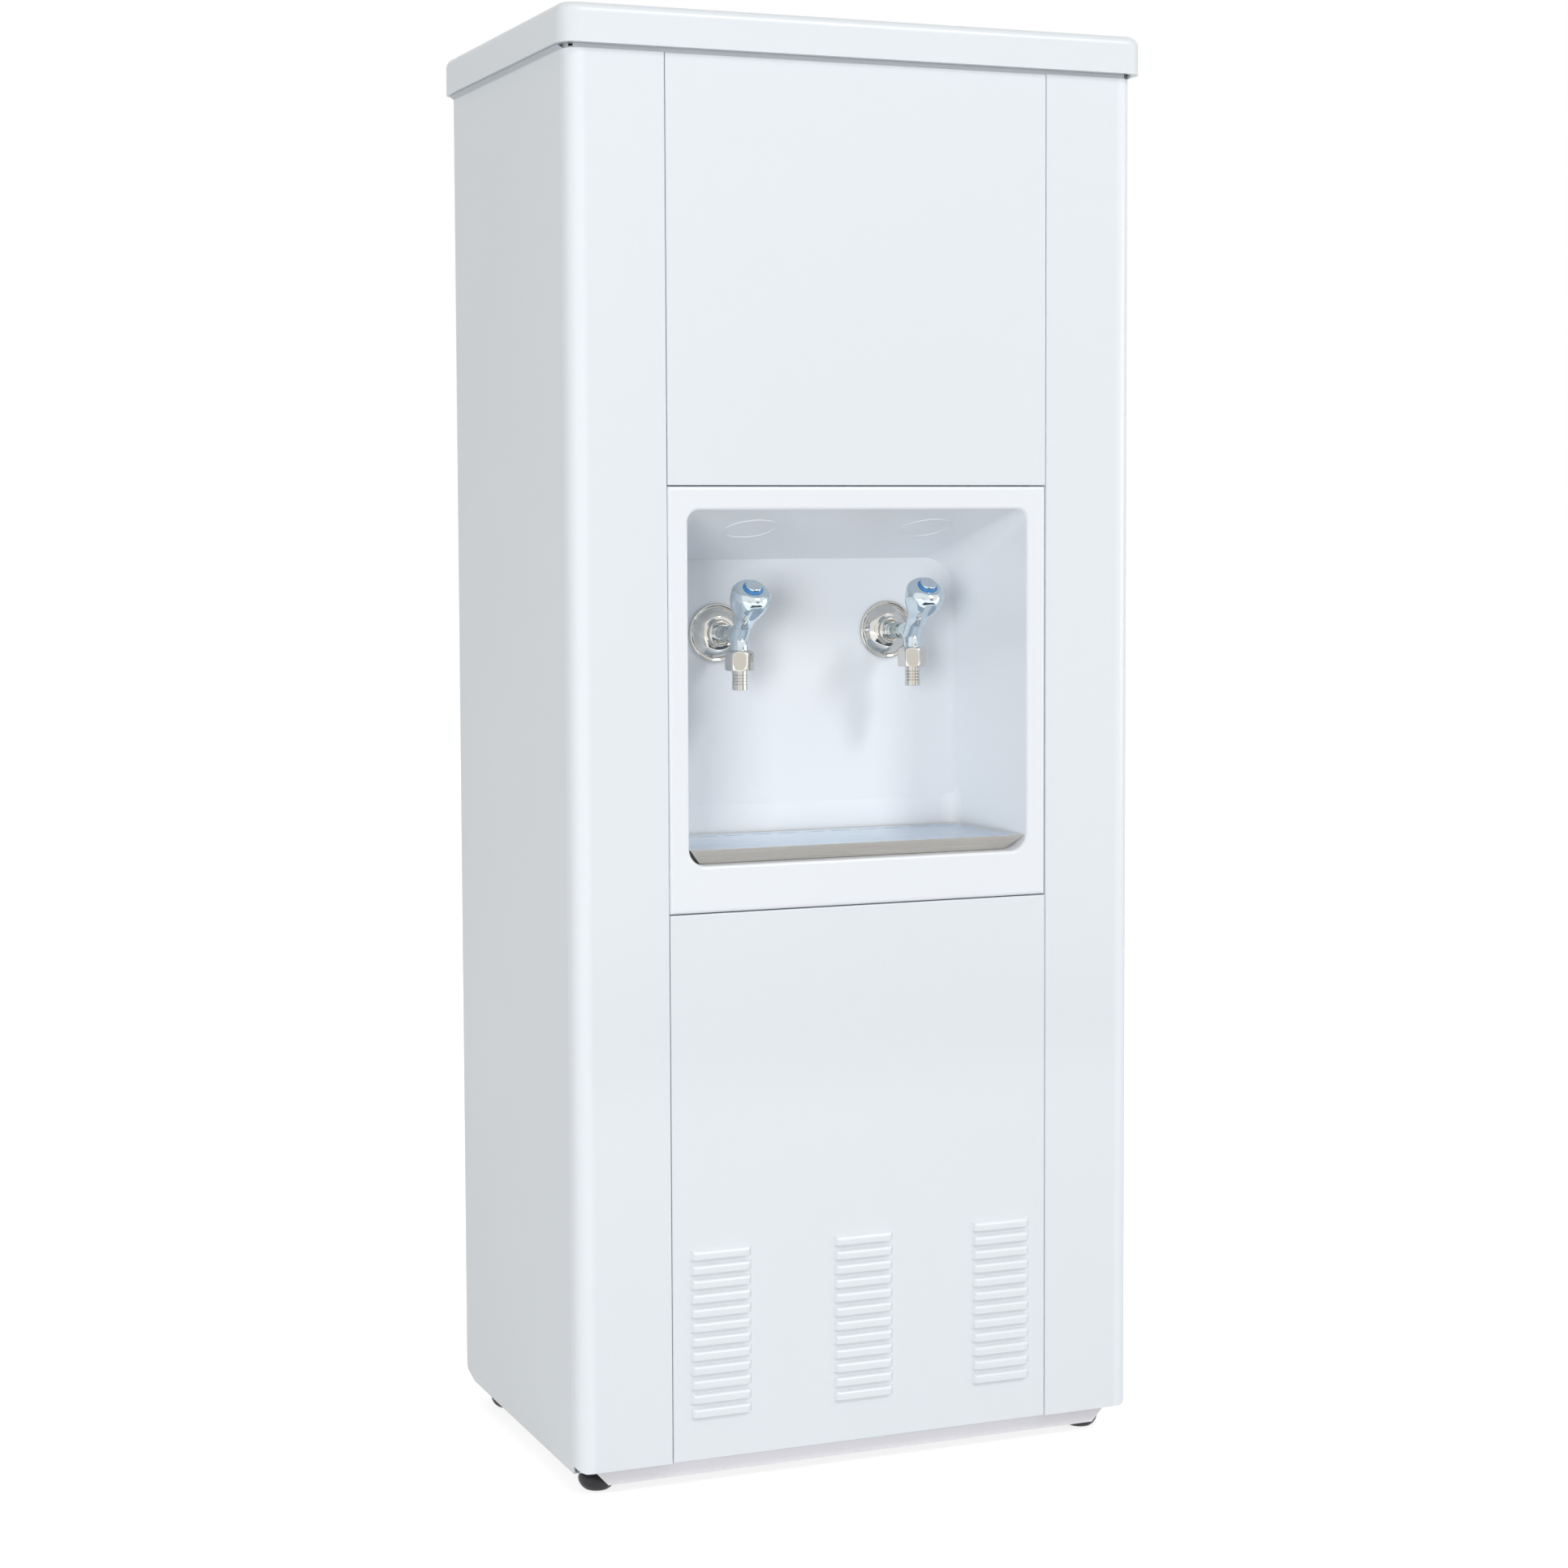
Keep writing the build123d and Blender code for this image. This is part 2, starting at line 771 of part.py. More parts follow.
def top_lid():
    """The lid: a shallow shell with rounded corners that overhangs all round."""
    reach = half_width + lid_overhang
    outer = block(
        (-reach, reach), (front_y - lid_overhang, rear_y + lid_overhang), (lid_bottom_z, overall_height)
    )
    outer = fillet(outer.edges().filter_by(Axis.Z), lid_corner_radius)
    outer = fillet(outer.faces().sort_by(Axis.Z)[-1].edges(), lid_edge_radius)
    return outer - lid_hollow(lid_bottom_z + sheet, 0) - lid_hollow(lid_bottom_z, lid_return_width)


def lid_hollow(bottom_z, clearance):
    """The room inside the lid above a height, drawn in by a clearance."""
    inset = lid_wall + clearance
    reach = half_width + lid_overhang - inset
    hollow = block(
        (-reach, reach),
        (front_y - lid_overhang + inset, rear_y + lid_overhang - inset),
        (bottom_z, overall_height - inset),
    )
    return fillet(hollow.edges().filter_by(Axis.Z), lid_corner_radius - inset)


def lid_insulation():
    """The foam slab that fills the lid and rests on the top frame."""
    return lid_hollow(neck_top_z + moving_clearance, seat)


def base_pan():
    """The base: a floor with upturned sides and rear, and a downturned apron at the front and the rear."""
    half = half_width - sheet - seat
    y_range = (front_y + apron_setback, inner_rear_y)
    pan = block((-half, half), y_range, (base_floor_z, base_top_z))
    pan = fillet(outer_edges(pan, Axis.Z, y_values=y_range[:1]), front_corner_radius)
    wall_heights = (base_floor_z, base_top_z + base_wall_height)
    pan += block((-half, half), (inner_rear_y - base_sheet, inner_rear_y), wall_heights)
    for side in (-1, 1):
        inner = side * (half - base_sheet)
        pan += block(
            tuple(sorted((inner, side * half))),
            (y_range[0] + front_corner_radius, y_range[1]),
            wall_heights,
        )
    outline = Polyline(
        (-apron_half_top, base_top_z),
        (apron_half_top, base_top_z),
        (apron_half_top, front_bottom_z),
        (apron_half_bottom, apron_bottom_z),
        (-apron_half_bottom, apron_bottom_z),
        (-apron_half_top, front_bottom_z),
        close=True,
    )
    apron = extrude(Plane.XZ * make_face(outline), -base_sheet)
    pan += Pos(0, y_range[0], 0) * apron
    pan += Pos(0, y_range[1] - base_sheet, 0) * apron
    for x in (-foot_x, foot_x):
        for y in (foot_front_y, foot_rear_y):
            pan -= rod((x, y, base_floor_z - 1), (x, y, base_top_z + 1), foot_hole_radius)
    spacing = compressor_bolt_spacing / 2
    for x in (compressor_x - spacing, compressor_x + spacing):
        for y in (compressor_y - spacing, compressor_y + spacing):
            pan -= rod((x, y, base_floor_z - 1), (x, y, base_top_z + 1), bolt_radius + seat)
    return pan


# Levelling feet


def levelling_foot(x, y):
    """A rubber dome moulded on a steel stud, shown screwed fully in."""
    tip = (foot_tip_radius, 0)
    widest = (foot_radius, foot_widest_z)
    flank = ThreePointArc(tip, (foot_radius * 0.9, foot_widest_z / 3), widest)
    shoulder = Polyline(widest, (foot_shoulder_radius, foot_shoulder_z), (0, foot_shoulder_z), (0, 0), tip)
    dome = revolve(Plane.XZ * make_face(flank + shoulder), Axis.Z)
    collar = rod((0, 0, foot_shoulder_z), (0, 0, base_floor_z - moving_clearance), foot_collar_radius)
    stud = rod((0, 0, foot_shoulder_z), (0, 0, foot_stud_top), foot_stud_radius)
    return Pos(x, y, 0) * (dome + collar + stud)


def foot_lock_nuts():
    """The nuts above the base floor that lock the four studs."""
    nuts = []
    low = base_top_z + seat
    for x in (-foot_x, foot_x):
        for y in (foot_front_y, foot_rear_y):
            top = (x, y, low + foot_nut_height)
            nut = hexagon((x, y, low), top, foot_nut_flats)
            nuts.append(nut - rod((x, y, low), top, foot_stud_radius + running_clearance))
    return group(nuts)


# Tap recess


def recess_section(depth, half, bottom_z, top_z, bottom_radius, top_radius):
    """One upright section of the recess, with its own corner radii."""
    face = make_face(Polyline((-half, bottom_z), (half, bottom_z), (half, top_z), (-half, top_z), close=True))
    corners = face.vertices().sort_by(Axis.Y)
    face = fillet(corners[:2], bottom_radius)
    corners = face.vertices().sort_by(Axis.Y)[-2:]
    face = fillet(corners, top_radius)
    return Plane(origin=(0, front_y + depth, 0), x_dir=(1, 0, 0), z_dir=(0, -1, 0)) * face


def recess_hollow(grow):
    """The space of the recess, or with its wall's thickness added, the outside of the moulding."""
    depth = recess_depth + grow
    lead = recess_depth / 10
    share = lead / recess_depth
    front = recess_section(
        -lead * (grow == 0),
        opening_half_width + grow + (opening_half_width - recess_back_half_width) * share * (grow == 0),
        recess_floor_z - grow,
        opening_top_z + grow + (opening_top_z - recess_back_top_z) * share * (grow == 0),
        opening_bottom_radius + grow,
        opening_top_radius + grow,
    )
    back = recess_section(
        depth,
        recess_back_half_width + grow,
        recess_floor_z - grow,
        recess_back_top_z + grow,
        opening_bottom_radius + grow,
        recess_back_radius + grow,
    )
    hollow = loft([front, back], ruled=True)
    # The foot of the back wall leans forwards
    foot_y = recess_back_y + grow - recess_kink_run
    outline = Polyline(
        (recess_back_y + grow, recess_kink_z),
        (foot_y, recess_floor_z - grow),
        (foot_y, recess_floor_z - 2 * grow - 1),
        (recess_back_y + grow + recess_kink_run, recess_floor_z - 2 * grow - 1),
        (recess_back_y + grow + recess_kink_run, recess_kink_z),
        close=True,
    )
    reach = opening_half_width + 2 * grow
    hollow -= extrude(Plane.YZ.offset(-reach) * make_face(outline), 2 * reach)
    cove = [
        edge for edge in hollow.edges().filter_by(Axis.X)
        if edge.center().Y > front_y + recess_depth / 2 and edge.center().Z < recess_floor_z + 1
    ]
    return fillet(cove, recess_cove_radius + grow)


def ceiling_z(depth):
    """Height of the sloping ceiling at a depth behind the front."""
    return opening_top_z - (opening_top_z - recess_back_top_z) * depth / recess_depth


def tap_recess():
    """The recess moulding: a rolled rim, a box with a sloping ceiling, and the drain spigot."""
    half = seam_x - seam_gap
    heights = (recess_bottom_z + seam_gap / 2, recess_top_z - seam_gap / 2)
    rim = block((-half, half), (front_y, front_y + pan_depth), heights)
    rim = fillet(rim.faces().sort_by(Axis.Y)[0].edges(), rim_border_radius)
    behind = block(
        (-half + recess_wall, half - recess_wall),
        (front_y + recess_wall, front_y + pan_depth),
        (heights[0] + recess_wall, heights[1] - recess_wall),
    )
    moulding = rim - behind + recess_hollow(recess_wall) - recess_hollow(0)
    mouth = [
        edge for edge in moulding.faces().sort_by(Axis.Y)[0].inner_wires()[0].edges()
    ]
    moulding = fillet(mouth, rim_roll_radius)
    drain_y = front_y + drain_spigot_depth
    low = recess_floor_z - recess_wall - drain_spigot_length
    inside_floor_z = recess_floor_z - recess_wall / 2
    moulding += rod((0, drain_y, low), (0, drain_y, inside_floor_z), drain_hole_radius + recess_wall)
    moulding -= rod((0, drain_y, low), (0, drain_y, recess_floor_z + 1), drain_hole_radius)
    for x in (-tap_x, tap_x):
        moulding -= rod((x, recess_back_y - 5, tap_z), (x, recess_rear_y + 5, tap_z), shank_radius + seat)
        moulding += ring_mark(x)
    return moulding


def ring_mark(x):
    """A faint raised ring on the ceiling above a tap."""
    slope = math.degrees(math.atan2(opening_top_z - recess_back_top_z, recess_depth))
    place = Pos(x, front_y + ring_mark_depth, ceiling_z(ring_mark_depth)) * Rot(-slope, 0, 0)
    ring = Circle(ring_mark_radius) - Circle(ring_mark_radius - ring_mark_width)
    return place * extrude(Plane.XY.offset(-ring_mark_height) * ring, ring_mark_height + recess_wall / 2)


# Taps


def along_head(distance, x=0.0):
    """A point on the slanting axis of a tap's headwork."""
    return (x, spout_y + head_direction[1] * distance, tap_z + head_direction[2] * distance)


def tap_body(x):
    """Barrel, elbow and down spout in one casting, with the boss of the headwork and the shank."""
    corner = (x, spout_y, tap_z)
    path = FilletPolyline((x, recess_back_y, tap_z), corner, (x, spout_y, spout_end_z), radius=elbow_radius)
    start = Plane(origin=path @ 0, z_dir=path % 0)
    body = sweep(start * Circle(barrel_radius), path=path)
    shank_end_y = recess_rear_y + shank_thread_length
    body += rod((x, recess_back_y, tap_z), (x, shank_end_y, tap_z), shank_radius)
    body += rod((x, shank_end_y, tap_z), (x, shank_end_y + shank_barb_length, tap_z), shank_barb_radius)
    boss_start = along_head(-4, x)
    body += rod(boss_start, along_head(head_boss_length, x), barrel_radius)
    body -= rod(along_head(2, x), along_head(head_boss_length, x), bonnet_radius + seat)
    water_end = (x, shank_end_y + shank_barb_length, tap_z)
    body -= rod(water_end, (x, spout_y, tap_z), barrel_bore - 1)
    body -= rod((x, spout_y, spout_end_z), (x, spout_y, tap_z), barrel_bore)
    return body


def tap_bonnet(x):
    """The headwork's bonnet, screwed into the boss, with the bore for the spindle."""
    top = along_head(2 + bonnet_length, x)
    bonnet = rod(along_head(2 + seat, x), top, bonnet_radius)
    return bonnet - rod(along_head(6, x), top, spindle_radius + running_clearance)


def handle_profile():
    """The tulip handle's outline: a narrow neck, a wide shoulder, and a face with a raised button."""
    neck = Line((0, 0), (handle_neck_radius, 0))
    flank = Spline(
        (handle_neck_radius, 0),
        (handle_neck_radius + 3.3, handle_widest * 0.36),
        (handle_radius, handle_widest),
        tangents=((0.15, 1), (0, 1)),
    )
    shoulder = Spline(
        (handle_radius, handle_widest),
        (handle_face_radius + 2.0, handle_length - 2.6),
        (handle_face_radius, handle_length - 1),
        tangents=((0, 1), (-1, 0.5)),
    )
    face = Line((handle_face_radius, handle_length - 1), (index_outer_radius + seat, handle_length))
    top = Line((index_outer_radius + seat, handle_length), (button_radius, handle_length))
    rim_z = handle_length + button_rise
    button_side = Line((button_radius, handle_length), (button_radius, rim_z))
    button_top = (0, rim_z + button_dome)
    dome = TangentArc(button_top, (button_radius, rim_z), tangent=(1, 0))
    return neck + flank + shoulder + face + top + button_side + dome + Line(button_top, (0, 0))


def tap_handle(x):
    """The fluted handle on its spindle, turning on the headwork's slanting axis."""
    body = revolve(Plane.XZ * make_face(handle_profile()), Axis.Z)
    top_centre = (handle_radius + flute_radius - flute_depth, 0, flute_top)
    foot_centre = (handle_neck_radius + flute_radius + moving_clearance, 0, 0)
    flute = rod(foot_centre, top_centre, flute_radius) + Pos(*top_centre) * Sphere(flute_radius)
    body -= [Rot(0, 0, 360 / handle_flutes * (turn + 0.5)) * flute for turn in range(handle_flutes)]
    room = bonnet_length + 2 - handle_start + 1
    body -= rod((0, 0, 0), (0, 0, room), bonnet_radius + moving_clearance)
    ring = Circle(index_outer_radius + seat) - Circle(button_radius)
    body -= extrude(Plane.XY.offset(handle_length - index_thickness) * ring, index_thickness)
    spindle_foot = 6 + 1 - handle_start
    body += rod((0, 0, spindle_foot), (0, 0, room + 1), spindle_radius)
    return handle_place(x) * body


def handle_place(x):
    """Where a handle stands: on the headwork's axis, its fluted face turned to the front."""
    return Plane(origin=along_head(handle_start, x), x_dir=(1, 0, 0), z_dir=head_direction).location


def tap_index(x):
    """The sloping collar round the handle's button, seated in a groove in its face."""
    low = handle_length - index_thickness + seat / 2
    top = handle_length + index_rise
    outline = Polyline(
        (index_inner_radius, low),
        (index_outer_radius, low),
        (index_outer_radius, handle_length),
        (index_top_radius, top),
        (index_inner_radius, top),
        close=True,
    )
    return handle_place(x) * revolve(Plane.XZ * make_face(outline), Axis.Z)


def rosette_profile():
    """The rosette's section, as (radius, distance from the wall): a bead, a dome and a hub."""
    bore = barrel_radius + seat
    bead_foot = (rosette_radius, rosette_bead_height / 3)
    valley = (rosette_radius - rosette_bead_width, rosette_valley_height)
    shoulder = (rosette_hub_radius, rosette_rise)
    hub_top = (rosette_hub_radius - rosette_hub_height / 2, rosette_rise + rosette_hub_height)
    bead = ThreePointArc(bead_foot, (rosette_radius - rosette_bead_width * 0.4, rosette_bead_height), valley)
    middle = ((valley[0] + shoulder[0]) / 2 + 1.2, (valley[1] + shoulder[1]) / 2 + 1.6)
    dome = ThreePointArc(valley, middle, shoulder)
    hub = ThreePointArc(shoulder, (shoulder[0] - 0.3, shoulder[1] + rosette_hub_height * 0.6), hub_top)
    bore_line = Polyline(hub_top, (bore, hub_top[1]), (bore, 0), (rosette_radius, 0), bead_foot)
    return bead + dome + hub + bore_line


def tap_rosette(x):
    """The domed flange that covers the hole in the wall."""
    cup = revolve(Plane.XZ * make_face(rosette_profile()), Axis.Z)
    return Plane(origin=(x, recess_back_y - seat, tap_z), z_dir=(0, -1, 0)).location * cup


def tap_back_nut(x):
    """The nut that clamps the tap from behind the recess wall."""
    low = recess_rear_y + seat
    nut = hexagon((x, low, tap_z), (x, low + back_nut_height, tap_z), back_nut_flats)
    return nut - rod((x, low, tap_z), (x, low + back_nut_height, tap_z), shank_radius + running_clearance)


def union_nut(x):
    """The hexagonal union nut with a rounded shoulder, open below for the hose tail."""
    corner = union_flats / math.sqrt(3)
    shoulder_z = union_height - union_shoulder
    foot = Polyline((0, 0), (corner - 1.4, 0), (corner, 1.0), (corner, shoulder_z))
    shoulder = ThreePointArc(
        (corner, shoulder_z),
        (corner - (corner - union_shoulder_radius) * 0.35, shoulder_z + union_shoulder * 0.68),
        (union_shoulder_radius, union_height),
    )
    top = Polyline((union_shoulder_radius, union_height), (0, union_height), (0, 0))
    envelope = revolve(Plane.XZ * make_face(foot + shoulder + top), Axis.Z)
    nut = hexagon((0, 0, 0), (0, 0, union_height), union_flats, union_turn) & envelope
    nut -= rod((0, 0, union_lip), (0, 0, union_height), barrel_radius + seat)
    nut -= rod((0, 0, 0), (0, 0, union_height), tail_radius + 2 * seat)
    return Pos(x, spout_y, union_bottom_z) * nut


def hose_tail(x):
    """The grooved nozzle held by the union nut, with a plain land at its end."""
    collar_low = union_lip + seat
    profile = [(-tail_length, tail_bore), (-tail_length, tail_radius)]
    for groove in range(tail_grooves):
        low = -tail_length + tail_land_length + groove * tail_groove_pitch
        profile += [
            (low, tail_radius),
            (low + tail_groove_width / 2, tail_radius - tail_groove_depth),
            (low + tail_groove_width, tail_radius),
        ]
    profile += [
        (collar_low, tail_radius),
        (collar_low, barrel_radius),
        (collar_low + tail_collar_height, barrel_radius),
        (collar_low + tail_collar_height, tail_bore),
    ]
    return turned(profile, origin=(x, spout_y, union_bottom_z))


# Drip tray


def tray_plan(z, inset, half_front, half_rear):
    """The tray's plan at a height, drawn in on all four sides."""
    rear_y_here = tray_front_y + tray_length - inset
    front_y_here = tray_front_y + inset
    points = (
        (-half_front + inset, front_y_here),
        (half_front - inset, front_y_here),
        (half_rear - inset, rear_y_here),
        (-half_rear + inset, rear_y_here),
    )
    return Plane.XY.offset(z) * make_face(Polyline(*points, close=True))


def tray_body(bottom_z, top_z, extra):
    """A solid tray shape whose four walls flare outwards at 45 degrees."""
    low = tray_plan(bottom_z, tray_top_z - bottom_z + extra, tray_front_half_width, tray_rear_half_width)
    high = tray_plan(top_z, tray_top_z - top_z + extra, tray_front_half_width, tray_rear_half_width)
    return loft([low, high], ruled=True)


def drip_tray():
    """The shallow stainless pan with flared walls."""
    outer = tray_body(tray_bottom_z, tray_top_z, 0)
    slant = tray_sheet * math.sqrt(2)
    return outer - tray_body(tray_bottom_z + tray_sheet, tray_top_z + 1, slant)


def drip_tray_cover():
    """The flat cover in the tray's mouth, slotted along its rear edge, on four short legs."""
    slant = tray_sheet * math.sqrt(2) + seat
    top_z = tray_top_z - tray_rim_drop
    cover = tray_body(top_z - cover_sheet, top_z, slant)
    slot_y = tray_front_y + tray_length - tray_height - cover_slot_inset
    slot = block(
        (-cover_slot_length / 2, cover_slot_length / 2),
        (slot_y, slot_y + cover_slot_width),
        (top_z - 2 * cover_sheet, top_z + cover_sheet),
    )
    spacing = 2 * (tray_rear_half_width - cover_slot_length) / (cover_slots - 1)
    places = [(index - (cover_slots - 1) / 2) * spacing for index in range(cover_slots)]
    cover -= [Pos(place, 0, 0) * slot for place in places]
    inset = 2.5 * tray_height
    for x in (-tray_rear_half_width + inset, tray_rear_half_width - inset):
        for y in (tray_front_y + inset, tray_front_y + tray_length - inset):
            leg_foot = (x, y, tray_bottom_z + tray_sheet + seat)
            cover += rod(leg_foot, (x, y, top_z - cover_sheet), cover_leg_radius)
    return cover


# Tank


def rounded_column(half_x, y_range, z_range, radius):
    """A box with rounded upright corners."""
    column = block((-half_x, half_x), y_range, z_range)
    return fillet(column.edges().filter_by(Axis.Z), radius)


def tank_shelf():
    """The shelf across the cabinet that carries the tank."""
    half = half_width - sheet - seat
    y_range = (foam_front_y, inner_rear_y)
    shelf = block((-half, half), y_range, (shelf_z, shelf_z + shelf_sheet))
    flange = block((half - shelf_sheet, half), y_range, (shelf_z - shelf_flange, shelf_z + shelf_sheet))
    shelf += [flange, mirrored(flange)]
    below = shelf_z - 1
    above = shelf_z + shelf_sheet + 1
    for x in (-tap_x, tap_x):
        shelf -= rod((x, outlet_y, below), (x, outlet_y, above), outlet_radius + 1)
    for x in (valve_x, coil_exit_x):
        shelf -= rod((x, chase_y, below), (x, chase_y, above), chase_width / 2)
    shelf -= rod((coil_low_x, coil_low_y, below), (coil_low_x, coil_low_y, above), coil_radius + 1)
    return shelf


def tank_insulation():
    """The foam box round the tank, with a chase at the rear for the inlet and suction pipes."""
    foam = block((-foam_half_x, foam_half_x), (foam_front_y, foam_rear_y), (foam_bottom_z, foam_top_z))
    cavity_half = tank_half_x + coil_gap
    foam -= rounded_column(
        cavity_half,
        (tank_front_y - coil_gap, tank_rear_y + coil_gap),
        (foam_bottom_z + foam_thickness, foam_top_z),
        tank_corner_radius + coil_gap,
    )
    for x in (-tap_x, tap_x):
        foam -= rod((x, outlet_y, foam_bottom_z - 1), (x, outlet_y, tank_bottom_z), outlet_radius + 1)
    for x, top_z in ((valve_x, valve_z), (coil_exit_x, coil_exit_z)):
        foam -= block(
            (x - chase_width / 2, x + chase_width / 2),
            (foam_rear_y - chase_depth, foam_rear_y),
            (foam_bottom_z, top_z + chase_width / 2),
        )
    foam -= rod((valve_x, foam_rear_y, valve_z), (valve_x, tank_rear_y, valve_z), valve_shank_radius + seat)
    foam -= block(
        (coil_exit_x - coil_radius - 1, coil_exit_x + 3 * coil_radius),
        (tank_rear_y + coil_gap - 1, foam_rear_y - chase_depth),
        (coil_exit_z - coil_radius - 1, coil_exit_z + coil_radius + 1),
    )
    foam -= rod(
        (coil_low_x, coil_low_y, foam_bottom_z - 1), (coil_low_x, coil_low_y, tank_bottom_z), coil_radius + 1
    )
    return foam


def storage_tank():
    """The stainless tank: open top with a flange, and two outlet stubs in its bottom."""
    heights = (tank_bottom_z, tank_top_z)
    tank = rounded_column(tank_half_x, (tank_front_y, tank_rear_y), heights, tank_corner_radius)
    tank = fillet(tank.faces().sort_by(Axis.Z)[0].edges(), tank_bottom_radius)
    lap = coil_gap + tank_flange_lap
    tank += rounded_column(
        tank_half_x + lap,
        (tank_front_y - lap, tank_rear_y + lap),
        (tank_top_z - tank_wall, tank_top_z),
        tank_corner_radius,
    )
    inside = rounded_column(
        tank_half_x - tank_wall,
        (tank_front_y + tank_wall, tank_rear_y - tank_wall),
        (tank_bottom_z + tank_wall, tank_top_z + 1),
        tank_corner_radius - tank_wall,
    )
    tank -= fillet(inside.faces().sort_by(Axis.Z)[0].edges(), tank_bottom_radius - tank_wall)
    for x in (-tap_x, tap_x):
        low = (x, outlet_y, shelf_z - outlet_length)
        tank += rod(low, (x, outlet_y, tank_bottom_z + tank_wall / 2), outlet_radius)
        tank -= rod(low, (x, outlet_y, tank_bottom_z + 2 * tank_wall), outlet_radius - tank_wall)
    tank -= rod(
        (valve_x, tank_rear_y - 5, valve_z), (valve_x, tank_rear_y + 5, valve_z), valve_shank_radius + seat
    )
    return tank


def tank_cover():
    """The sheet cover over the tank's mouth, turned down over the flange."""
    lap = coil_gap + tank_flange_lap + seat
    lip_half = tank_half_x + lap + tank_wall
    y_range = (tank_front_y - lap - tank_wall, tank_rear_y + lap + tank_wall)
    outer = rounded_column(
        lip_half, y_range, (tank_top_z - tank_wall + seat, tank_top_z + seat + tank_wall), tank_corner_radius
    )
    inner = rounded_column(
        tank_half_x + lap,
        (tank_front_y - lap, tank_rear_y + lap),
        (tank_top_z - tank_wall, tank_top_z + seat),
        tank_corner_radius - tank_wall,
    )
    return outer - inner


def evaporator_coil():
    """The copper evaporator: one tube wound round the tank, from the foam's floor to the rear chase."""
    side_x = tank_half_x + coil_offset
    low_y = tank_front_y - coil_offset
    high_y = tank_rear_y + coil_offset
    corners = ((-side_x, low_y), (side_x, low_y), (side_x, high_y), (-side_x, high_y))
    points = [(coil_low_x, coil_low_y, shelf_z - coil_radius), (coil_low_x, coil_low_y, coil_first_z)]
    for step in range(4 * coil_turns):
        x, y = corners[step % 4]
        points.append((x, y, coil_first_z + (step + 1) * coil_pitch / 4))
    points[-1] = (coil_exit_x, high_y, coil_exit_z)
    points.append((coil_exit_x, chase_y, coil_exit_z))
    bends = [3 * coil_radius] + [tank_corner_radius + coil_offset] * (4 * coil_turns - 1) + [3 * coil_radius]
    path = FilletPolyline(*points, radius=bends)
    start = Plane(origin=path @ 0, z_dir=path % 0)
    return sweep(start * Circle(coil_radius), path=path)


# Float valve


def float_valve():
    """The inlet valve: a shank through the tank wall, a body inside, and a fork for the float arm."""
    inner_wall_y = tank_rear_y - tank_wall
    shank_start = (valve_x, chase_y + inlet_pipe_radius, valve_z)
    shank = rod(shank_start, (valve_x, inner_wall_y - seat - 1, valve_z), valve_shank_radius)
    body_end_y = inner_wall_y - seat - valve_body_length
    body = rod((valve_x, inner_wall_y - seat, valve_z), (valve_x, body_end_y, valve_z), valve_body_radius)
    fork = block(
        (valve_x - valve_body_radius + 2, valve_x + valve_body_radius - 2),
        (body_end_y - valve_fork_length, body_end_y + 1),
        (valve_z - valve_body_radius, valve_z + valve_body_radius - 2),
    )
    slot = block(
        (valve_x - valve_fork_gap / 2, valve_x + valve_fork_gap / 2),
        (body_end_y - valve_fork_length, body_end_y - 1),
        (valve_z - valve_body_radius, valve_z + valve_body_radius),
    )
    pin = rod(
        (valve_x - valve_body_radius + 2, pivot_y, valve_z),
        (valve_x + valve_body_radius - 2, pivot_y, valve_z),
        float_pin_radius,
    )
    return shank + body + (fork - slot) + pin


def float_direction():
    """The arm's direction when the tank is empty."""
    angle = math.radians(float_drop_angle)
    return (0, -math.cos(angle), -math.sin(angle))


def along_float(distance):
    """A point on the float arm's line, from its pivot."""
    step = float_direction()
    return (valve_x, pivot_y + step[1] * distance, valve_z + step[2] * distance)


def float_arm():
    """The brass arm: an eye on the valve's pin and a rod to the ball."""
    half = valve_fork_gap / 2 - moving_clearance
    eye = rod((valve_x - half, pivot_y, valve_z), (valve_x + half, pivot_y, valve_z), float_eye_radius)
    arm = eye + rod(along_float(float_eye_radius - 1), along_float(float_socket_start), float_arm_radius)
    bore_radius = float_pin_radius + running_clearance
    return arm - rod((valve_x - half, pivot_y, valve_z), (valve_x + half, pivot_y, valve_z), bore_radius)


def float_ball():
    """The hollow float, here a closed ball with the socket of the arm."""
    ball = Pos(*along_float(float_arm_length)) * Sphere(float_ball_radius)
    socket_end = along_float(float_socket_start + seat)
    return ball - rod(along_float(0), socket_end, float_arm_radius + running_clearance)


# Pipes and fittings for water


def inlet_fitting():
    """The brass inlet: a threaded stub and flange behind the back panel, a nut and an elbow inside it."""
    def along(start_y, end_y, radius):
        return rod((valve_x, start_y, inlet_z), (valve_x, end_y, inlet_z), radius)

    inner_y = back_panel_y - inlet_hex_height
    elbow_back_y = chase_y - inlet_thread_radius
    elbow_top_z = inlet_z + 2 * inlet_thread_radius
    fitting = hexagon((valve_x, inner_y, inlet_z), (valve_x, back_panel_y - seat, inlet_z), inlet_hex_flats)
    fitting += along(elbow_back_y, back_outer_y + 2 * seat, inlet_neck_radius)
    fitting += along(back_outer_y + seat, rear_spigot_y, inlet_flange_radius)
    fitting += along(rear_spigot_y - seat, rear_reach_y, inlet_thread_radius)
    fitting += rod((valve_x, chase_y, inlet_z), (valve_x, chase_y, elbow_top_z), inlet_pipe_radius + 1.5)
    fitting -= along(chase_y, rear_reach_y, inlet_bore)
    return fitting - rod((valve_x, chase_y, inlet_z), (valve_x, chase_y, elbow_top_z), inlet_bore - 2)


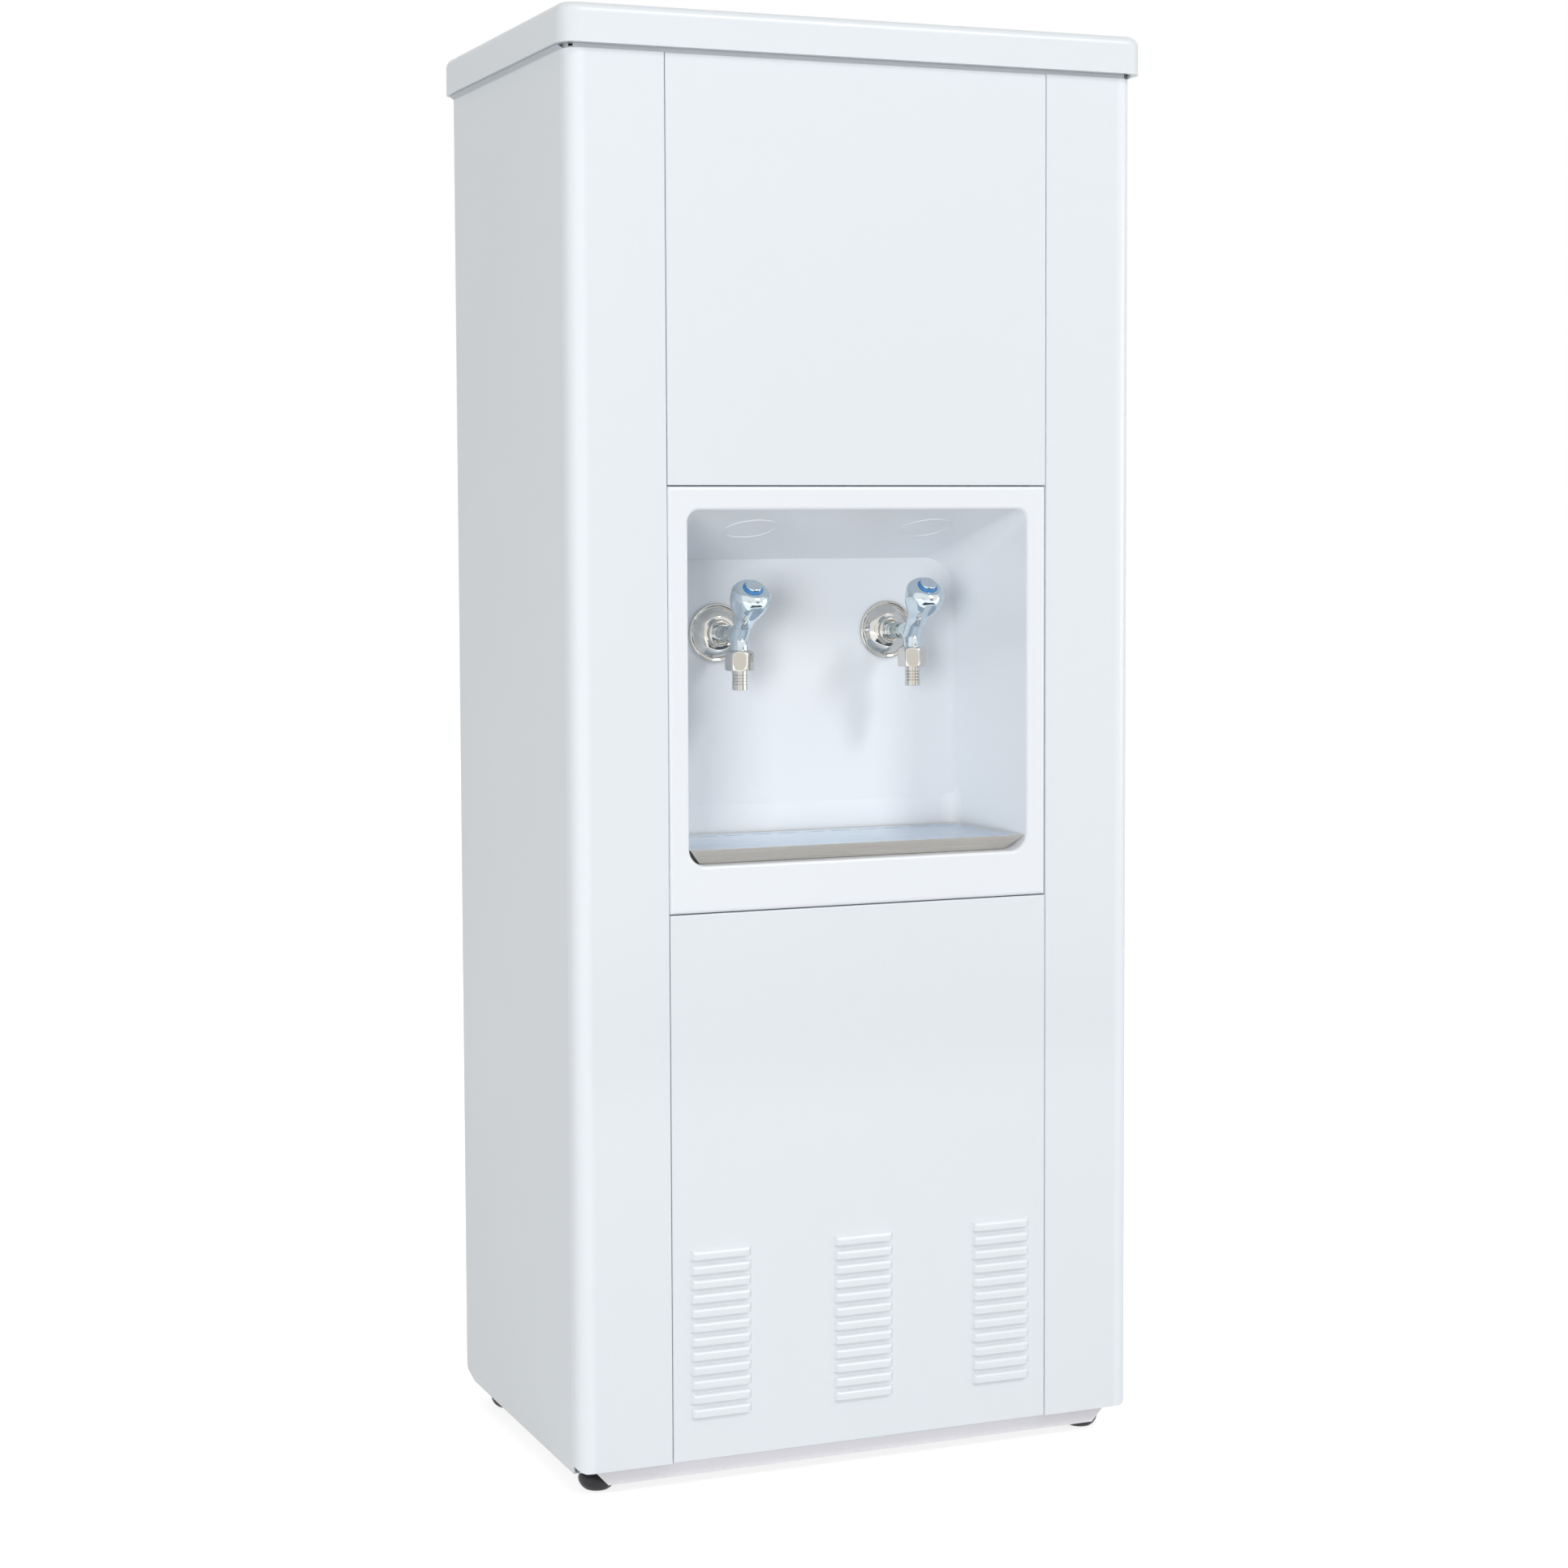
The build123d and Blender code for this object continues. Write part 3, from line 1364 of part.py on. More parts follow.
def inlet_pipe():
    """The pipe from the inlet fitting up the chase to the float valve."""
    low_z = inlet_z + 2 * inlet_thread_radius + seat
    top_z = valve_z - valve_shank_radius - seat
    upright = rod((valve_x, chase_y, low_z), (valve_x, chase_y, top_z), inlet_pipe_radius)
    return upright - rod((valve_x, chase_y, low_z), (valve_x, chase_y, top_z), inlet_pipe_radius - tank_wall)


def tap_hose(x):
    """The soft hose from a tank outlet to the tail of a tap's shank."""
    inner = shank_barb_radius + running_clearance
    start_y = recess_rear_y + shank_thread_length + seat
    points = ((x, start_y, tap_z), (x, outlet_y, tap_z), (x, outlet_y, shelf_z - seat))
    return pipe(points, hose_bend, inner + hose_wall, inner)


def drain_outlet():
    """The drain spigot, clamped to the back panel between a flange behind it and one inside."""
    def along(start_y, end_y, radius):
        return rod((drain_x, start_y, drain_z), (drain_x, end_y, drain_z), radius)

    inner_y = back_panel_y - seat - drain_flange_thickness
    outlet = along(inner_y - drain_tail_length, back_outer_y + 2 * seat, drain_neck_radius)
    outlet += along(inner_y, back_panel_y - seat, drain_flange_radius)
    outlet += along(back_outer_y + seat, rear_spigot_y, drain_flange_radius)
    outlet += along(rear_spigot_y - seat, rear_reach_y, drain_spigot_radius)
    return outlet - along(inner_y - drain_tail_length, rear_reach_y, drain_spigot_radius - 2)


def drain_hose():
    """The hose from the recess drain to the outlet in the back panel."""
    outer = drain_hole_radius + recess_wall
    top_z = recess_floor_z - recess_wall - drain_spigot_length - seat
    drain_y = front_y + drain_spigot_depth
    end_y = back_panel_y - seat - drain_flange_thickness - drain_tail_length - seat
    points = (
        (0, drain_y, top_z),
        (0, drain_y, drain_z),
        (drain_x, drain_y + drain_hose_slant, drain_z),
        (drain_x, end_y, drain_z),
    )
    return pipe(points, hose_bend, outer - 1, outer - 1 - hose_wall)


# Electrics at the back


def terminal_box():
    """The box where the mains cable ends, on the back panel's inner face."""
    box = Box(terminal_width, terminal_depth, terminal_height)
    box = fillet(box.edges().filter_by(Axis.Y), terminal_corner_radius)
    return Pos(gland_x, rear_y - terminal_depth / 2, terminal_z) * box


def cable_gland():
    """The mains inlet: a nylon gland with a domed outer nut and a hole for the cable."""
    low_y = back_panel_y - gland_inner_length
    gland = rod((gland_x, low_y, gland_z), (gland_x, back_outer_y + seat, gland_z), gland_flats / 3)
    start = (gland_x, back_outer_y + seat, gland_z)
    end = (gland_x, back_outer_y + seat + gland_cap_height, gland_z)
    cap = hexagon(start, end, gland_flats)
    corner = gland_flats * 0.56
    dome = turned(
        (
            (0, 0), (0, corner), (gland_cap_height / 2, corner),
            (gland_cap_height, corner / 2), (gland_cap_height, 0),
        ),
        origin=start,
        direction=(0, 1, 0),
    )
    locknut_start = (gland_x, back_panel_y - gland_nut_height, gland_z)
    locknut = hexagon(locknut_start, (gland_x, back_panel_y - seat, gland_z), gland_flats)
    bore = rod((gland_x, low_y, gland_z), end, gland_bore)
    return gland + (cap & dome) + locknut - bore


def thermostat_body():
    """The thermostat behind the back panel, with a blind bore for the knob's shaft."""
    centre = Pos(thermostat_x, rear_y - thermostat_depth / 2, thermostat_z)
    body = centre * Box(thermostat_width, thermostat_depth, thermostat_height)
    bore_end = (thermostat_x, rear_y - thermostat_bore, thermostat_z)
    return body - rod(bore_end, (thermostat_x, rear_y, thermostat_z), spindle_radius + running_clearance)


def thermostat_knob():
    """The setting knob with a ribbed rim and a pointer, on its shaft."""
    low_y = back_outer_y + moving_clearance
    knob = rod((0, low_y, 0), (0, low_y + knob_height, 0), knob_radius)
    top_y = low_y + knob_height
    groove = rod((knob_radius, low_y, 0), (knob_radius, top_y, 0), knob_groove_radius)
    knob -= [Rot(0, 360 / knob_ribs * turn, 0) * groove for turn in range(knob_ribs)]
    half_pointer = knob_pointer_width / 2
    pointer_reach = (knob_pointer_start, knob_radius - knob_pointer_margin)
    knob += block((-half_pointer, half_pointer), (top_y, top_y + knob_pointer_rise), pointer_reach)
    knob += rod((0, rear_y - thermostat_bore + knob_shaft_margin, 0), (0, low_y + seat, 0), spindle_radius)
    return Pos(thermostat_x, 0, thermostat_z) * knob


# Refrigeration unit


def compressor_bolts():
    """Places of the compressor's four mounting bolts."""
    spacing = compressor_bolt_spacing / 2
    for x in (compressor_x - spacing, compressor_x + spacing):
        for y in (compressor_y - spacing, compressor_y + spacing):
            yield x, y


def compressor_base_plate():
    """The plate welded under the compressor, on four grommets."""
    half = compressor_plate_size / 2
    plate = block(
        (compressor_x - half, compressor_x + half), (compressor_y - half, compressor_y + half),
        (compressor_plate_z + seat, compressor_plate_z + seat + compressor_plate_sheet),
    )
    plate = fillet(plate.edges().filter_by(Axis.Z), compressor_plate_radius)
    hole_radius = bolt_radius + compressor_plate_hole_margin
    for x, y in compressor_bolts():
        plate -= rod((x, y, compressor_plate_z), (x, y, compressor_low_z), hole_radius)
    return plate


def compressor_grommets():
    """The rubber grommets between the plate and the base floor."""
    grommets = []
    low = base_top_z + seat
    for x, y in compressor_bolts():
        grommet = rod((x, y, low), (x, y, compressor_plate_z), grommet_radius)
        grommets.append(grommet - rod((x, y, low), (x, y, compressor_plate_z), bolt_radius + seat))
    return group(grommets)


def compressor_shell():
    """The welded shell: two drawn cups that meet in a seam."""
    height = compressor_height
    seam = height * 0.52
    return turned(
        (
            (0, 0),
            (0, compressor_radius - 16),
            (5, compressor_radius - 5),
            (14, compressor_radius),
            (seam - 4, compressor_radius),
            (seam - 4, compressor_seam_radius),
            (seam + 4, compressor_seam_radius),
            (seam + 4, compressor_radius),
            (height - 34, compressor_radius),
            (height - 14, compressor_radius - 9),
            (height - 3, compressor_radius - 28),
            (height, compressor_radius - 44),
            (height, 0),
        ),
        origin=(compressor_x, compressor_y, compressor_low_z),
    )


def compressor_terminal_cover():
    """The moulded cover of the compressor's terminals, on its left side."""
    x_high = compressor_x - compressor_seam_radius - seat
    half = terminal_cover_width / 2
    box = block(
        (x_high - terminal_cover_depth, x_high),
        (compressor_y - half, compressor_y + half),
        (terminal_cover_low_z, terminal_cover_low_z + terminal_cover_height),
    )
    return fillet(box.edges().filter_by(Axis.X), terminal_cover_radius)


def condenser_fin_pack():
    """The fins of the condenser and its two thicker end plates, which stand on the base."""
    height = (fin_low_z, fin_low_z + condenser_height)
    hole_ends = ((-end_plate_sheet, condenser_mid_y, 0), (end_plate_sheet, condenser_mid_y, 0))
    hole = rod(*hole_ends, tube_radius + seat)
    holes = [Pos(0, 0, condenser_tube_z(row)) * hole for row in range(tube_passes)]
    fin = block((-fin_sheet / 2, fin_sheet / 2), (condenser_front_y, condenser_rear_y), height)
    fin -= holes
    end = block(
        (-end_plate_sheet / 2, end_plate_sheet / 2),
        (condenser_front_y - end_plate_lip, condenser_rear_y),
        (base_top_z + seat, height[1] + end_plate_rise),
    )
    end -= holes
    width = condenser_right_x - condenser_left_x
    pitch = width / (fin_count + 1)
    fins = [Pos(condenser_left_x + pitch * (index + 1), 0, 0) * fin for index in range(fin_count)]
    ends = [Pos(condenser_left_x, 0, 0) * end, Pos(condenser_right_x, 0, 0) * end]
    return group(fins + ends)


def condenser_tube_z(row):
    """Height of one pass of the condenser tube."""
    return fin_low_z + (condenser_height - (tube_passes - 1) * tube_pitch) / 2 + row * tube_pitch


def condenser_tubes():
    """The condenser tube: straight passes through the fins, joined by U-bends."""
    left = condenser_left_x - tube_end_margin
    right = condenser_right_x + tube_end_margin
    radius = tube_pitch / 2
    start_point = (left - tube_stub, condenser_mid_y, condenser_tube_z(0))
    path = Line(start_point, (right, condenser_mid_y, condenser_tube_z(0)))
    for row in range(tube_passes - 1):
        low, high = condenser_tube_z(row), condenser_tube_z(row + 1)
        turn_x, other_x, bulge = (right, left, radius) if row % 2 == 0 else (left, right, -radius)
        path += ThreePointArc(
            (turn_x, condenser_mid_y, low),
            (turn_x + bulge, condenser_mid_y, (low + high) / 2),
            (turn_x, condenser_mid_y, high),
        )
        far = other_x - tube_stub if row == tube_passes - 2 else other_x
        path += Line((turn_x, condenser_mid_y, high), (far, condenser_mid_y, high))
    start = Plane(origin=start_point, z_dir=(1, 0, 0))
    return sweep(start * Circle(tube_radius), path=path)


def fan_shroud():
    """The plate behind the condenser, with the fan's collar and the spider that holds the motor."""
    plate = block(
        (condenser_left_x, condenser_right_x),
        (shroud_y, shroud_y + sheet),
        (base_top_z + seat, shroud_top_z),
    )
    centre = (condenser_x, shroud_y, fan_z)
    collar_end = (condenser_x, shroud_y + collar_depth, fan_z)
    shroud = plate + rod(centre, collar_end, fan_opening_radius + fan_collar_wall)
    shroud -= rod(centre, collar_end, fan_opening_radius)
    bar_y = (shroud_y + collar_depth - spider_sheet, shroud_y + collar_depth)
    ring_radius = motor_radius - spider_ring_inset
    bar_reach = (ring_radius - spider_ring_width / 2, fan_opening_radius + fan_collar_wall / 2)
    bar = block((-spider_bar / 2, spider_bar / 2), bar_y, bar_reach)
    shroud += [Pos(condenser_x, 0, fan_z) * Rot(0, 45 + 90 * turn, 0) * bar for turn in range(4)]
    ring_ends = ((condenser_x, bar_y[0], fan_z), (condenser_x, bar_y[1], fan_z))
    ring = rod(*ring_ends, ring_radius) - rod(*ring_ends, ring_radius - spider_ring_width)
    return shroud + ring


def fan_motor():
    """The shaded-pole motor, with the bearing bore of the fan's shaft."""
    end_y = motor_front_y + motor_length
    motor = rod((condenser_x, motor_front_y, fan_z), (condenser_x, end_y, fan_z), motor_radius)
    motor = fillet(motor.edges().filter_by(GeomType.CIRCLE), motor_fillet)
    bore_end = (condenser_x, motor_front_y + fan_shaft_bore, fan_z)
    return motor - rod((condenser_x, motor_front_y, fan_z), bore_end, fan_shaft_radius + running_clearance)


def fan_blades():
    """The fan wheel: a hub on a short shaft, with twisted blades."""
    hub_y = motor_front_y - fan_gap - fan_hub_length
    hub = rod((0, hub_y, 0), (0, hub_y + fan_hub_length, 0), fan_hub_radius)
    hub = fillet(hub.edges().sort_by(Axis.Y)[0], fan_hub_fillet)
    middle_y = hub_y + fan_hub_length / 2
    blade = Box(fan_blade_chord, fan_blade_sheet, fan_radius - fan_hub_radius + fan_blade_root)
    blade = Rot(0, 0, fan_blade_pitch) * blade
    blade = fillet(outer_edges_far(blade), fan_blade_fillet)
    blade = Pos(0, middle_y, (fan_radius + fan_hub_radius - fan_blade_root) / 2) * blade
    wheel = hub + [Rot(0, 360 / fan_blades_count * turn, 0) * blade for turn in range(fan_blades_count)]
    wheel += rod((0, hub_y + fan_hub_length, 0), (0, motor_front_y + fan_shaft_reach, 0), fan_shaft_radius)
    return Pos(condenser_x, 0, fan_z) * wheel


def outer_edges_far(blade):
    """The short edges at a blade's outer corners."""
    short = [edge for edge in blade.edges() if abs(edge.length - fan_blade_sheet) < seat]
    return sorted(short, key=lambda edge: edge.center().Z)[-2:]


def filter_drier():
    """The copper filter drier in the liquid line, necked down at both ends."""
    neck = refrigerant_pipe_radius + drier_neck_wall
    cone_end = drier_neck_length + drier_cone_length
    return turned(
        (
            (0, 0),
            (0, neck),
            (drier_neck_length, neck),
            (cone_end, drier_radius),
            (drier_length - cone_end, drier_radius),
            (drier_length - drier_neck_length, neck),
            (drier_length, neck),
            (drier_length, 0),
        ),
        origin=(drier_x, condenser_mid_y, drier_z),
    )


def refrigerant_pipes():
    """The discharge, liquid, capillary and suction lines."""
    shell_top = compressor_low_z + compressor_height
    tube_end_x = condenser_left_x - tube_end_margin - tube_stub - seat
    top_z = condenser_tube_z(tube_passes - 1)
    low_z = condenser_tube_z(0)
    bend = 3 * refrigerant_pipe_radius
    discharge_x = compressor_x + shell_pipe_offset
    suction_x = compressor_x - shell_pipe_offset
    liquid_x = compressor_x - liquid_pipe_offset
    loop_z = drier_z - drier_loop_drop
    capillary_z = drier_z + drier_length + capillary_rise
    discharge = pipe(
        (
            (discharge_x, compressor_y, shell_top + seat),
            (discharge_x, compressor_y, shell_top + discharge_rise),
            (discharge_x, condenser_mid_y, shell_top + discharge_rise),
            (discharge_x, condenser_mid_y, top_z),
            (tube_end_x, condenser_mid_y, top_z),
        ),
        bend,
        refrigerant_pipe_radius,
    )
    liquid = pipe(
        (
            (tube_end_x, condenser_mid_y, low_z),
            (liquid_x, condenser_mid_y, low_z),
            (liquid_x, condenser_mid_y, loop_z),
            (drier_x, condenser_mid_y - drier_loop_reach, loop_z),
            (drier_x, condenser_mid_y, loop_z + drier_loop_rise),
            (drier_x, condenser_mid_y, drier_z - seat),
        ),
        refrigerant_pipe_radius * 1.2,
        refrigerant_pipe_radius,
    )
    capillary = pipe(
        (
            (drier_x, condenser_mid_y, drier_z + drier_length + seat),
            (drier_x, condenser_mid_y, capillary_z),
            (coil_low_x, coil_low_y, capillary_z),
            (coil_low_x, coil_low_y, shelf_z - coil_radius - seat),
        ),
        bend,
        capillary_radius,
    )
    suction = pipe(
        (
            (coil_exit_x, chase_y, coil_exit_z - coil_radius - seat),
            (coil_exit_x, chase_y, shell_top + suction_rise),
            (suction_x, compressor_y, shell_top + suction_rise),
            (suction_x, compressor_y, shell_top + seat),
        ),
        bend,
        refrigerant_pipe_radius,
    )
    return group([discharge, liquid, capillary, suction])


# Write every sub-part


def main():
    """Build the cooler and write one STEP file for each sub-part."""
    os.makedirs("parts", exist_ok=True)
    left_side = screwed_side_panel()
    save("left_side_panel", left_side)
    save("right_side_panel", mirrored(left_side))
    save("upper_front_panel", upper_front_panel())
    save("lower_front_panel", lower_front_panel())
    save("tap_recess", tap_recess())
    save("back_panel", back_panel())
    save("panel_screws", panel_screws())
    save("top_frame", top_frame())
    save("top_lid", top_lid())
    save("lid_insulation", lid_insulation())
    save("base_pan", base_pan())
    save("foot_front_left", levelling_foot(-foot_x, foot_front_y))
    save("foot_front_right", levelling_foot(foot_x, foot_front_y))
    save("foot_rear_left", levelling_foot(-foot_x, foot_rear_y))
    save("foot_rear_right", levelling_foot(foot_x, foot_rear_y))
    save("foot_lock_nuts", foot_lock_nuts())
    save("tap_rosettes", both_sides(tap_rosette(-tap_x)))
    save("tap_bonnets", both_sides(tap_bonnet(-tap_x)))
    save("tap_back_nuts", both_sides(tap_back_nut(-tap_x)))
    save("tap_union_nuts", group([union_nut(-tap_x), union_nut(tap_x)]))
    for side, x in (("left", -tap_x), ("right", tap_x)):
        save(side + "_tap_body", tap_body(x))
        save(side + "_hose_tail", hose_tail(x))
        save(side + "_tap_handle", tap_handle(x))
        save(side + "_tap_index", tap_index(x))
        save(side + "_tap_hose", tap_hose(x))
    save("drip_tray", drip_tray())
    save("drip_tray_cover", drip_tray_cover())
    save("tank_shelf", tank_shelf())
    save("tank_insulation", tank_insulation())
    save("storage_tank", storage_tank())
    save("tank_cover", tank_cover())
    save("evaporator_coil", evaporator_coil())
    save("float_valve", float_valve())
    save("float_arm", float_arm())
    save("float_ball", float_ball())
    save("inlet_fitting", inlet_fitting())
    save("inlet_pipe", inlet_pipe())
    save("drain_outlet", drain_outlet())
    save("drain_hose", drain_hose())
    save("terminal_box", terminal_box())
    save("cable_gland", cable_gland())
    save("thermostat_body", thermostat_body())
    save("thermostat_knob", thermostat_knob())
    save("compressor_base_plate", compressor_base_plate())
    save("compressor_grommets", compressor_grommets())
    save("compressor_shell", compressor_shell())
    save("compressor_terminal_cover", compressor_terminal_cover())
    save("condenser_fin_pack", condenser_fin_pack())
    save("condenser_tubes", condenser_tubes())
    save("fan_shroud", fan_shroud())
    save("fan_motor", fan_motor())
    save("fan_blades", fan_blades())
    save("filter_drier", filter_drier())
    save("refrigerant_pipes", refrigerant_pipes())


main()
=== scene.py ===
import math

import bpy
import numpy as np
from mathutils import Matrix, Vector


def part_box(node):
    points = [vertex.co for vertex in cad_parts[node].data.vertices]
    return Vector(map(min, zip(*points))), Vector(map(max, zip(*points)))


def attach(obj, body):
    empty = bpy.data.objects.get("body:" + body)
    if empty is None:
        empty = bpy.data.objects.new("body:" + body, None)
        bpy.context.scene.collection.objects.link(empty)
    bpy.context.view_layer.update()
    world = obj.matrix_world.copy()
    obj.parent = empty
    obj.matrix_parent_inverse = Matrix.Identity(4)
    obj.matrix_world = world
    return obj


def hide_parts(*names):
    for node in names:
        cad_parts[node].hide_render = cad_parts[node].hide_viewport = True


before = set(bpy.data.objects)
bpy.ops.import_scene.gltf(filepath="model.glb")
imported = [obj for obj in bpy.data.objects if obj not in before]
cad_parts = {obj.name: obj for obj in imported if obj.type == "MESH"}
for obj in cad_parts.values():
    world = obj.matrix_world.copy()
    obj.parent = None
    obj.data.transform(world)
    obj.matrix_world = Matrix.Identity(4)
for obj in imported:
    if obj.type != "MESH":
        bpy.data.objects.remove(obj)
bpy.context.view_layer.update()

# Camera. It stands 2.7 m in front of the cooler and to its left, at two thirds of its height, and
# looks a little down. The small shift frames the cooler as in the photograph.
camera_place = Vector((-1.031, -2.494, 0.826))
camera_yaw = math.radians(21.86)
camera_pitch = math.radians(3.57)
camera_roll = math.radians(-0.26)

forward = Vector((
    math.sin(camera_yaw) * math.cos(camera_pitch),
    math.cos(camera_yaw) * math.cos(camera_pitch),
    -math.sin(camera_pitch),
))
level_right = Vector((math.cos(camera_yaw), -math.sin(camera_yaw), 0))
level_up = level_right.cross(forward)
right = level_right * math.cos(camera_roll) + level_up * math.sin(camera_roll)
up = level_up * math.cos(camera_roll) - level_right * math.sin(camera_roll)

lens = bpy.data.cameras.new("camera")
lens.sensor_width = 36.0
lens.lens = 67.9
lens.shift_x = 0.0184
lens.shift_y = -0.05
camera = bpy.data.objects.new("camera", lens)
camera.matrix_world = Matrix.Translation(camera_place) @ Matrix((right, up, -forward)).transposed().to_4x4()
bpy.context.scene.collection.objects.link(camera)
bpy.context.scene.camera = camera
bpy.context.scene.view_settings.view_transform = "Standard"


# Studio. An even white surround, seen as plain white and by the metal as white, lights the shadows
# more dimly. The floor is pale grey paper that fades to the same white and keeps a soft shadow.
def linear(colour):
    """An sRGB hex colour as linear RGBA: v / 12.92 up to 0.04045, above it ((v + 0.055) / 1.055) ** 2.4."""
    values = [int(colour[place:place + 2], 16) / 255 for place in (0, 2, 4)]
    return tuple(v / 12.92 if v <= 0.04045 else ((v + 0.055) / 1.055) ** 2.4 for v in values) + (1.0,)


def add(tree, kind, settings=None, **sockets):
    """Adds a node. A socket, named or numbered, is given a value, or a (node, output) pair to link."""
    made = tree.nodes.new(kind)
    for name, value in (settings or {}).items():
        setattr(made, name, value)
    for name, value in sockets.items():
        socket = made.inputs[int(name[1:])] if name[1:].isdigit() else made.inputs[name.replace("_", " ")]
        if isinstance(value, tuple) and isinstance(value[0], bpy.types.Node):
            tree.links.new(value[0].outputs[value[1]], socket)
        else:
            socket.default_value = value
    return made


def seen_directly(tree, hidden, shown):
    """A strength that is one value for diffuse light and another for the camera, gloss and glass."""
    path = add(tree, "ShaderNodeLightPath")
    higher = {"operation": "MAXIMUM"}
    seen = add(tree, "ShaderNodeMath", higher, _0=(path, "Is Camera Ray"), _1=(path, "Is Glossy Ray"))
    seen = add(tree, "ShaderNodeMath", higher, _0=(seen, 0), _1=(path, "Is Transmission Ray"))
    return add(tree, "ShaderNodeMapRange", _0=(seen, 0), _3=hidden, _4=shown)


surround = bpy.data.worlds.new("white_surround")
surround.use_nodes = True
bpy.context.scene.world = surround
sky = surround.node_tree
sky.nodes.clear()
fill_strength = 0.43
strength = seen_directly(sky, fill_strength, 1.0)
glow = add(sky, "ShaderNodeBackground", Color=linear("FFFFFF"), Strength=(strength, 0))
add(sky, "ShaderNodeOutputWorld", Surface=(glow, 0))

floor_reach = 40.0
floor_mesh = bpy.data.meshes.new("floor")
corners = ((-1, -1), (1, -1), (1, 1), (-1, 1))
floor_mesh.from_pydata([(x * floor_reach, y * floor_reach, 0) for x, y in corners], [], [(0, 1, 2, 3)])
floor = bpy.data.objects.new("floor", floor_mesh)
bpy.context.scene.collection.objects.link(floor)
paper = bpy.data.materials.new("pale_grey_paper")
paper.use_nodes = True
tree = paper.node_tree
tree.nodes.clear()
floor_glow = 0.78
strength = seen_directly(tree, 0.0, floor_glow)
glow = add(tree, "ShaderNodeEmission", Color=linear("FFFFFF"), Strength=(strength, 0))
matt = add(tree, "ShaderNodeBsdfDiffuse", Color=linear("CBCBCB"))
both = add(tree, "ShaderNodeAddShader", _0=(matt, 0), _1=(glow, 0))
add(tree, "ShaderNodeOutputMaterial", Surface=(both, 0))
floor_mesh.materials.append(paper)

# Lamps. A broad soft box on the left, which the metal doesn't show, gives the front its even light and the
# left side its shade. A smaller one high on the right puts the bright lines on the louvres, and one far
# round on the right lights the right edge. Each stands on a bearing in degrees from the cooler's middle.
for name, bearing, height, distance, size, power, mirrored in (
    ("left_soft_box", -37, 2, 5.0, 1.64, 107.0, False),
    ("high_right_soft_box", 28, 40, 6.0, 1.1, 86.0, True),
    ("right_soft_box", 65, 5, 3.5, 1.2, 18.0, True),
):
    lamp = bpy.data.lights.new(name, "AREA")
    lamp.size = size
    lamp.energy = power
    level = distance * math.cos(math.radians(height))
    aim = Vector((0.0, -0.15, 0.65))
    offset = Vector((
        level * math.sin(math.radians(bearing)),
        -level * math.cos(math.radians(bearing)),
        distance * math.sin(math.radians(height)),
    ))
    holder = bpy.data.objects.new(name, lamp)
    holder.location = aim + offset
    holder.rotation_euler = (-offset).to_track_quat("-Z", "Y").to_euler()
    holder.visible_glossy = mirrored
    bpy.context.scene.collection.objects.link(holder)

# Cards that only the metal's reflections show, as a photographer puts round chrome: a dark one low in
# front, which draws the line under each handle's brim, a warm grey one on the right and a pale warm one
# by the camera.
for name, colour, middle, half_width, half_height, tilt in (
    ("low_dark_card", "56606B", (0.20, -0.72, 0.30), 0.42, 0.30, 0),
    ("right_grey_card", "A9A69B", (0.92, -2.40, 0.78), 0.38, 0.45, 90),
    ("camera_warm_card", "F1EDE6", (-1.25, -2.95, 0.80), 0.62, 0.62, 90),
):
    card_mesh = bpy.data.meshes.new(name)
    card_mesh.from_pydata([(x * half_width, y * half_height, 0) for x, y in corners], [], [(0, 1, 2, 3)])
    card = bpy.data.objects.new(name, card_mesh)
    card.location = middle
    card.rotation_euler = (math.radians(tilt), 0, 0)
    card.visible_camera = False
    card.visible_diffuse = False
    card.visible_transmission = False
    card.visible_shadow = False
    bpy.context.scene.collection.objects.link(card)
    cloth = bpy.data.materials.new(name + "_cloth")
    cloth.use_nodes = True
    cloth.node_tree.nodes.clear()
    glow = add(cloth.node_tree, "ShaderNodeEmission", Color=linear(colour), Strength=1.0)
    add(cloth.node_tree, "ShaderNodeOutputMaterial", Surface=(glow, 0))
    card_mesh.materials.append(cloth)


# Base pan: one sheet of 1.5 mm steel, folded down into the pale apron under the front panel and up at
# the sides and rear, then sprayed with a satin pale grey chassis paint that shows a fine orange peel.
def coated(name, colour, roughness, cell, relief, drift=0.01, metallic=0.0):
    """A sprayed or moulded surface: its colour drifts by a share over broad patches, and its skin has
    a relief in mm with cells of a size in mm."""
    made = bpy.data.materials.new(name)
    made.use_nodes = True
    tree = made.node_tree
    shader = tree.nodes["Principled BSDF"]
    shader.inputs["Metallic"].default_value = metallic
    place = add(tree, "ShaderNodeTexCoord")
    patches = add(tree, "ShaderNodeTexNoise", Vector=(place, "Object"), Scale=9.0, Detail=3.0)
    share = add(tree, "ShaderNodeMapRange", _0=(patches, 0), _3=0.0, _4=2 * drift)
    shade = add(
        tree, "ShaderNodeMix", {"data_type": "RGBA", "blend_type": "MULTIPLY"},
        _0=(share, 0), _6=linear(colour), _7=linear("808080"),
    )
    tree.links.new(shade.outputs[2], shader.inputs["Base Color"])
    rough = add(tree, "ShaderNodeMapRange", _0=(patches, 0), _3=roughness * 0.85, _4=roughness * 1.15)
    tree.links.new(rough.outputs[0], shader.inputs["Roughness"])
    skin_cells = add(tree, "ShaderNodeTexNoise", Vector=(place, "Object"), Scale=1000.0 / cell, Detail=1.0)
    bump = add(tree, "ShaderNodeBump", Height=(skin_cells, 0), Strength=0.6, Distance=relief / 1000)
    tree.links.new(bump.outputs[0], shader.inputs["Normal"])
    return made


